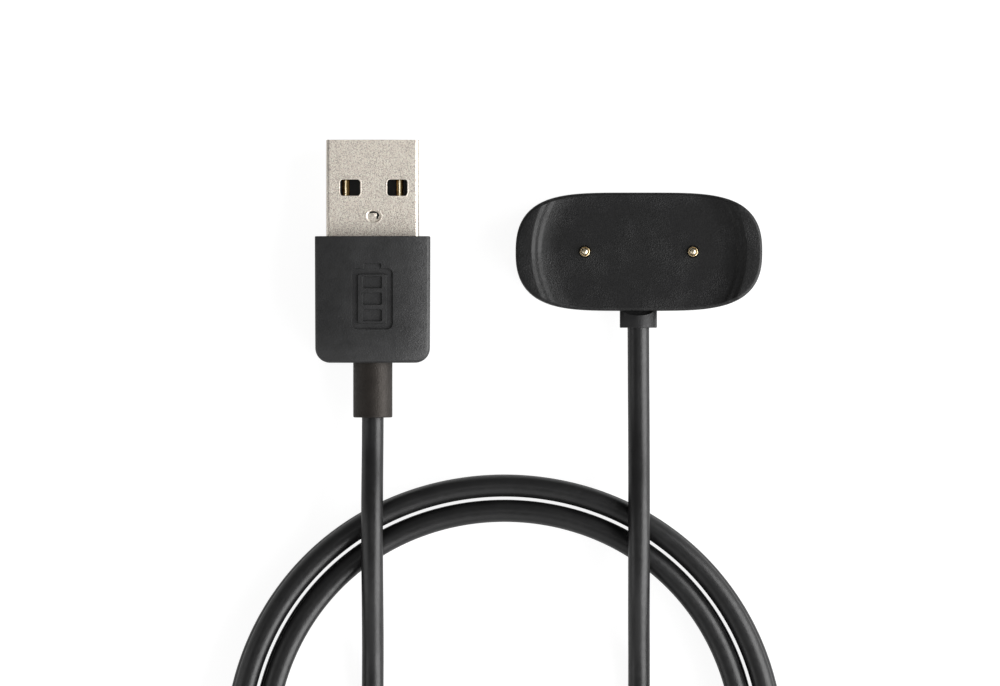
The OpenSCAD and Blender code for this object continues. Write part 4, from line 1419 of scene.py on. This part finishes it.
class CABLE_OT_plug_inside(bpy.types.Operator):
    """Finishes what is inside the plug: tongue, contact strips, inner mould, wires and solder"""

    bl_idname = "cable.plug_inside"
    bl_label = "Inside the plug"

    def execute(self, context):
        for name in ("power", "data_minus", "data_plus", "ground"):
            node = "usb_contact_" + name
            low, high = box_mm(node)
            x, half, thick, tip = (low[0] + high[0]) / 2, (high[0] - low[0]) / 2, high[2] - low[2], high[1]
            # the painted highlight line runs 0.02 mm left of the middle on strips left of the plug's middle,
            # in the middle on the others
            highlight_shift = -0.02 if high[0] < plug_place()[0] else 0.0
            gold = gold_with_painted_light("strip_gold_" + name, x, highlight_shift)
            # a slightly domed strip whose tip bends down
            section = [*((half * u, -0.11 * u * u) for u in np.linspace(1, -1, 13)), (-half, -thick),
                       (half, -thick)]

            def bent(down, y):
                """The section at a place along Y, with its upper face lowered."""
                outline = [(u, max(v - down, -thick + 0.01) if v > -thick else v) for u, v in section]
                return crosswise(outline, (x, 0, high[2]), y)

            strip = loft("strip_" + name, [bent(0.12, tip), bent(0.035, tip - 0.12), bent(0, tip - 0.35),
                                           bent(0, low[1])])
            finish_piece(strip, "cable", gold, (node,), angle=50)
        dress("usb_insulator", plain_body("tongue_plastic", (0.012, 0.012, 0.013), 0.5))
        dress("usb_inner_mould", plain_body("mould_plastic", (0.72, 0.70, 0.64), 0.5, 0.92,
                                            Subsurface_Weight=0.2))
        dress("usb_solder_joints", plated("plug_solder", (0.66, 0.67, 0.68), 0.36))
        at = plug_place()
        wire_pair("plug_wire_", "usb_wire_", "plug_wire_skin_", lambda side: [
            tuple(at + Vector((side * x, y, z)))
            for x, y, z in ((0.5, -24.5, 0), (0.5, -23.5, 0), (2.6, -21.65, 0.4), (3.5, -20.85, 0.4),
                            (3.5, -20.05, 0.4))])
        return {"FINISHED"}


# ---- where the named points show in the picture ----


def measure_points():
    """Works out where what each named image point marks shows in the picture, in the picture's points, and
    keeps none of it.
    """
    plug = bpy.context.scene.cable_plug
    at = plug_place()

    def corners(obj, keep=None):
        """Corners in the picture of what a piece shows, or of the part to keep."""
        places = np.empty(3 * len(obj.data.vertices))
        obj.data.vertices.foreach_get("co", places)
        places = places.reshape(-1, 3)
        if keep:
            places = places[keep(*(places / MM).T)]
        seen = in_picture(places)
        return seen.min(0), seen.max(0)

    def middle(obj, keep=None):
        low, high = corners(obj, keep)
        return (low + high) / 2

    def on_shell(middle_x, half_x, from_tip):
        """The middle of what stands up round a place on the shell's upper face."""
        return middle(objects["plug_shell"], lambda x, y, z: (z > at[2] + 2.2) & (abs(x - middle_x) < half_x)
                      & (abs(y - at[1] + from_tip / MM) < 1.4))

    objects = bpy.data.objects
    found = {}
    whole = [corners(o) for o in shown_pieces() if o.name != "cord_jacket" and "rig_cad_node" not in o]
    low, high = np.min([c[0] for c in whole], axis=0), np.max([c[1] for c in whole], axis=0)
    found["left_side"], found["right_side"] = (low[0], None), (high[0], None)
    found["top_side"], found["bottom_side"] = (None, low[1]), (None, high[1])
    head = corners(objects["head_cover"])
    found["head_left_end"] = (head[0][0], None)
    found["head_rear_side"], found["head_cord_side"] = (None, head[0][1]), (None, head[1][1])
    for side in ("left", "right"):
        found["pin_" + side] = middle(objects["barrel_" + side], lambda x, y, z: z > 6.3)
    for side, sign in (("left", -1), ("right", 1)):
        found["window_" + side] = on_shell(at[0] + sign * plug.window_pitch / 2 / MM, 1.8, plug.window_back)
    found["clinch_hole"] = on_shell(at[0], 1.6, plug.clinch_back)
    found["clinch_pad"] = middle(objects["clinch_pad"])
    found["grip_front"] = (None, corners(objects["plug_grip"])[0][1])
    found["collar"] = middle(objects["head_collar"], lambda x, y, z: y < box_mm("head_front_cover")[0][1])
    # the cord is measured across itself, at the point's place along it
    route = in_picture(np.array(bpy.context.scene["cord_route"]).reshape(-1, 3) * MM)
    for name, along in (("cord_from_plug", 1), ("cord_from_head", 1), ("coil_outer_turn", 0),
                        ("coil_inner_turn", 0), ("coil_left_edge", 1)):
        point = np.array(IMAGE_POINTS[name])
        near = route[(np.abs(route[:, along] - point[along]) < 4) & (np.abs(route - point).max(1) < 40)]
        best = near[np.argmin(np.abs(near[:, 1 - along] - point[1 - along]))]
        found[name] = tuple(best[i] if i != along else None for i in (0, 1))


# ---- add-on ----


class CABLE_PT_sidebar(bpy.types.Panel):
    """Sidebar of the charging cable"""

    bl_idname = "CABLE_PT_sidebar"
    bl_label = "Charging cable"
    bl_space_type = "VIEW_3D"
    bl_region_type = "UI"
    bl_category = "Charging cable"

    def draw(self, context):
        for operator in OPERATORS:
            self.layout.operator(operator.bl_idname)
        for name in ("cable_stage", "cable_cord", "cable_head", "cable_plug"):
            settings = getattr(context.scene, name)
            box = self.layout.box()
            for key in settings.__annotations__:
                box.prop(settings, key)


OPERATORS = (CABLE_OT_stage, CABLE_OT_cord, CABLE_OT_strain_relief, CABLE_OT_head_shells, CABLE_OT_collar,
             CABLE_OT_spring_contacts, CABLE_OT_head_inside, CABLE_OT_plug_shell, CABLE_OT_grip,
             CABLE_OT_plug_inside, CABLE_OT_cord_facts)
SETTINGS = (("cable_stage", StageSettings), ("cable_cord", CordSettings), ("cable_head", HeadSettings),
            ("cable_plug", PlugSettings))


def register():
    """Makes the settings, the operators and the panel known to Blender."""
    for name, settings in SETTINGS:
        bpy.utils.register_class(settings)
        setattr(bpy.types.Scene, name, PointerProperty(type=settings))
    for operator in OPERATORS:
        bpy.utils.register_class(operator)
    bpy.utils.register_class(CABLE_PT_sidebar)


def unregister():
    """Takes back what register does."""
    bpy.utils.unregister_class(CABLE_PT_sidebar)
    for operator in reversed(OPERATORS):
        bpy.utils.unregister_class(operator)
    for name, settings in reversed(SETTINGS):
        delattr(bpy.types.Scene, name)
        bpy.utils.unregister_class(settings)


def main():
    """Builds everything in order, and works out where the named points show in the picture."""
    register()
    bpy.ops.cable.stage()
    bpy.ops.cable.cord()
    bpy.ops.cable.strain_relief()
    bpy.ops.cable.head_shells()
    bpy.ops.cable.collar()
    bpy.ops.cable.spring_contacts()
    bpy.ops.cable.head_inside()
    bpy.ops.cable.plug_shell()
    bpy.ops.cable.grip()
    bpy.ops.cable.plug_inside()
    bpy.ops.cable.cord_facts()
    measure_points()


if __name__ == "__main__":
    main()
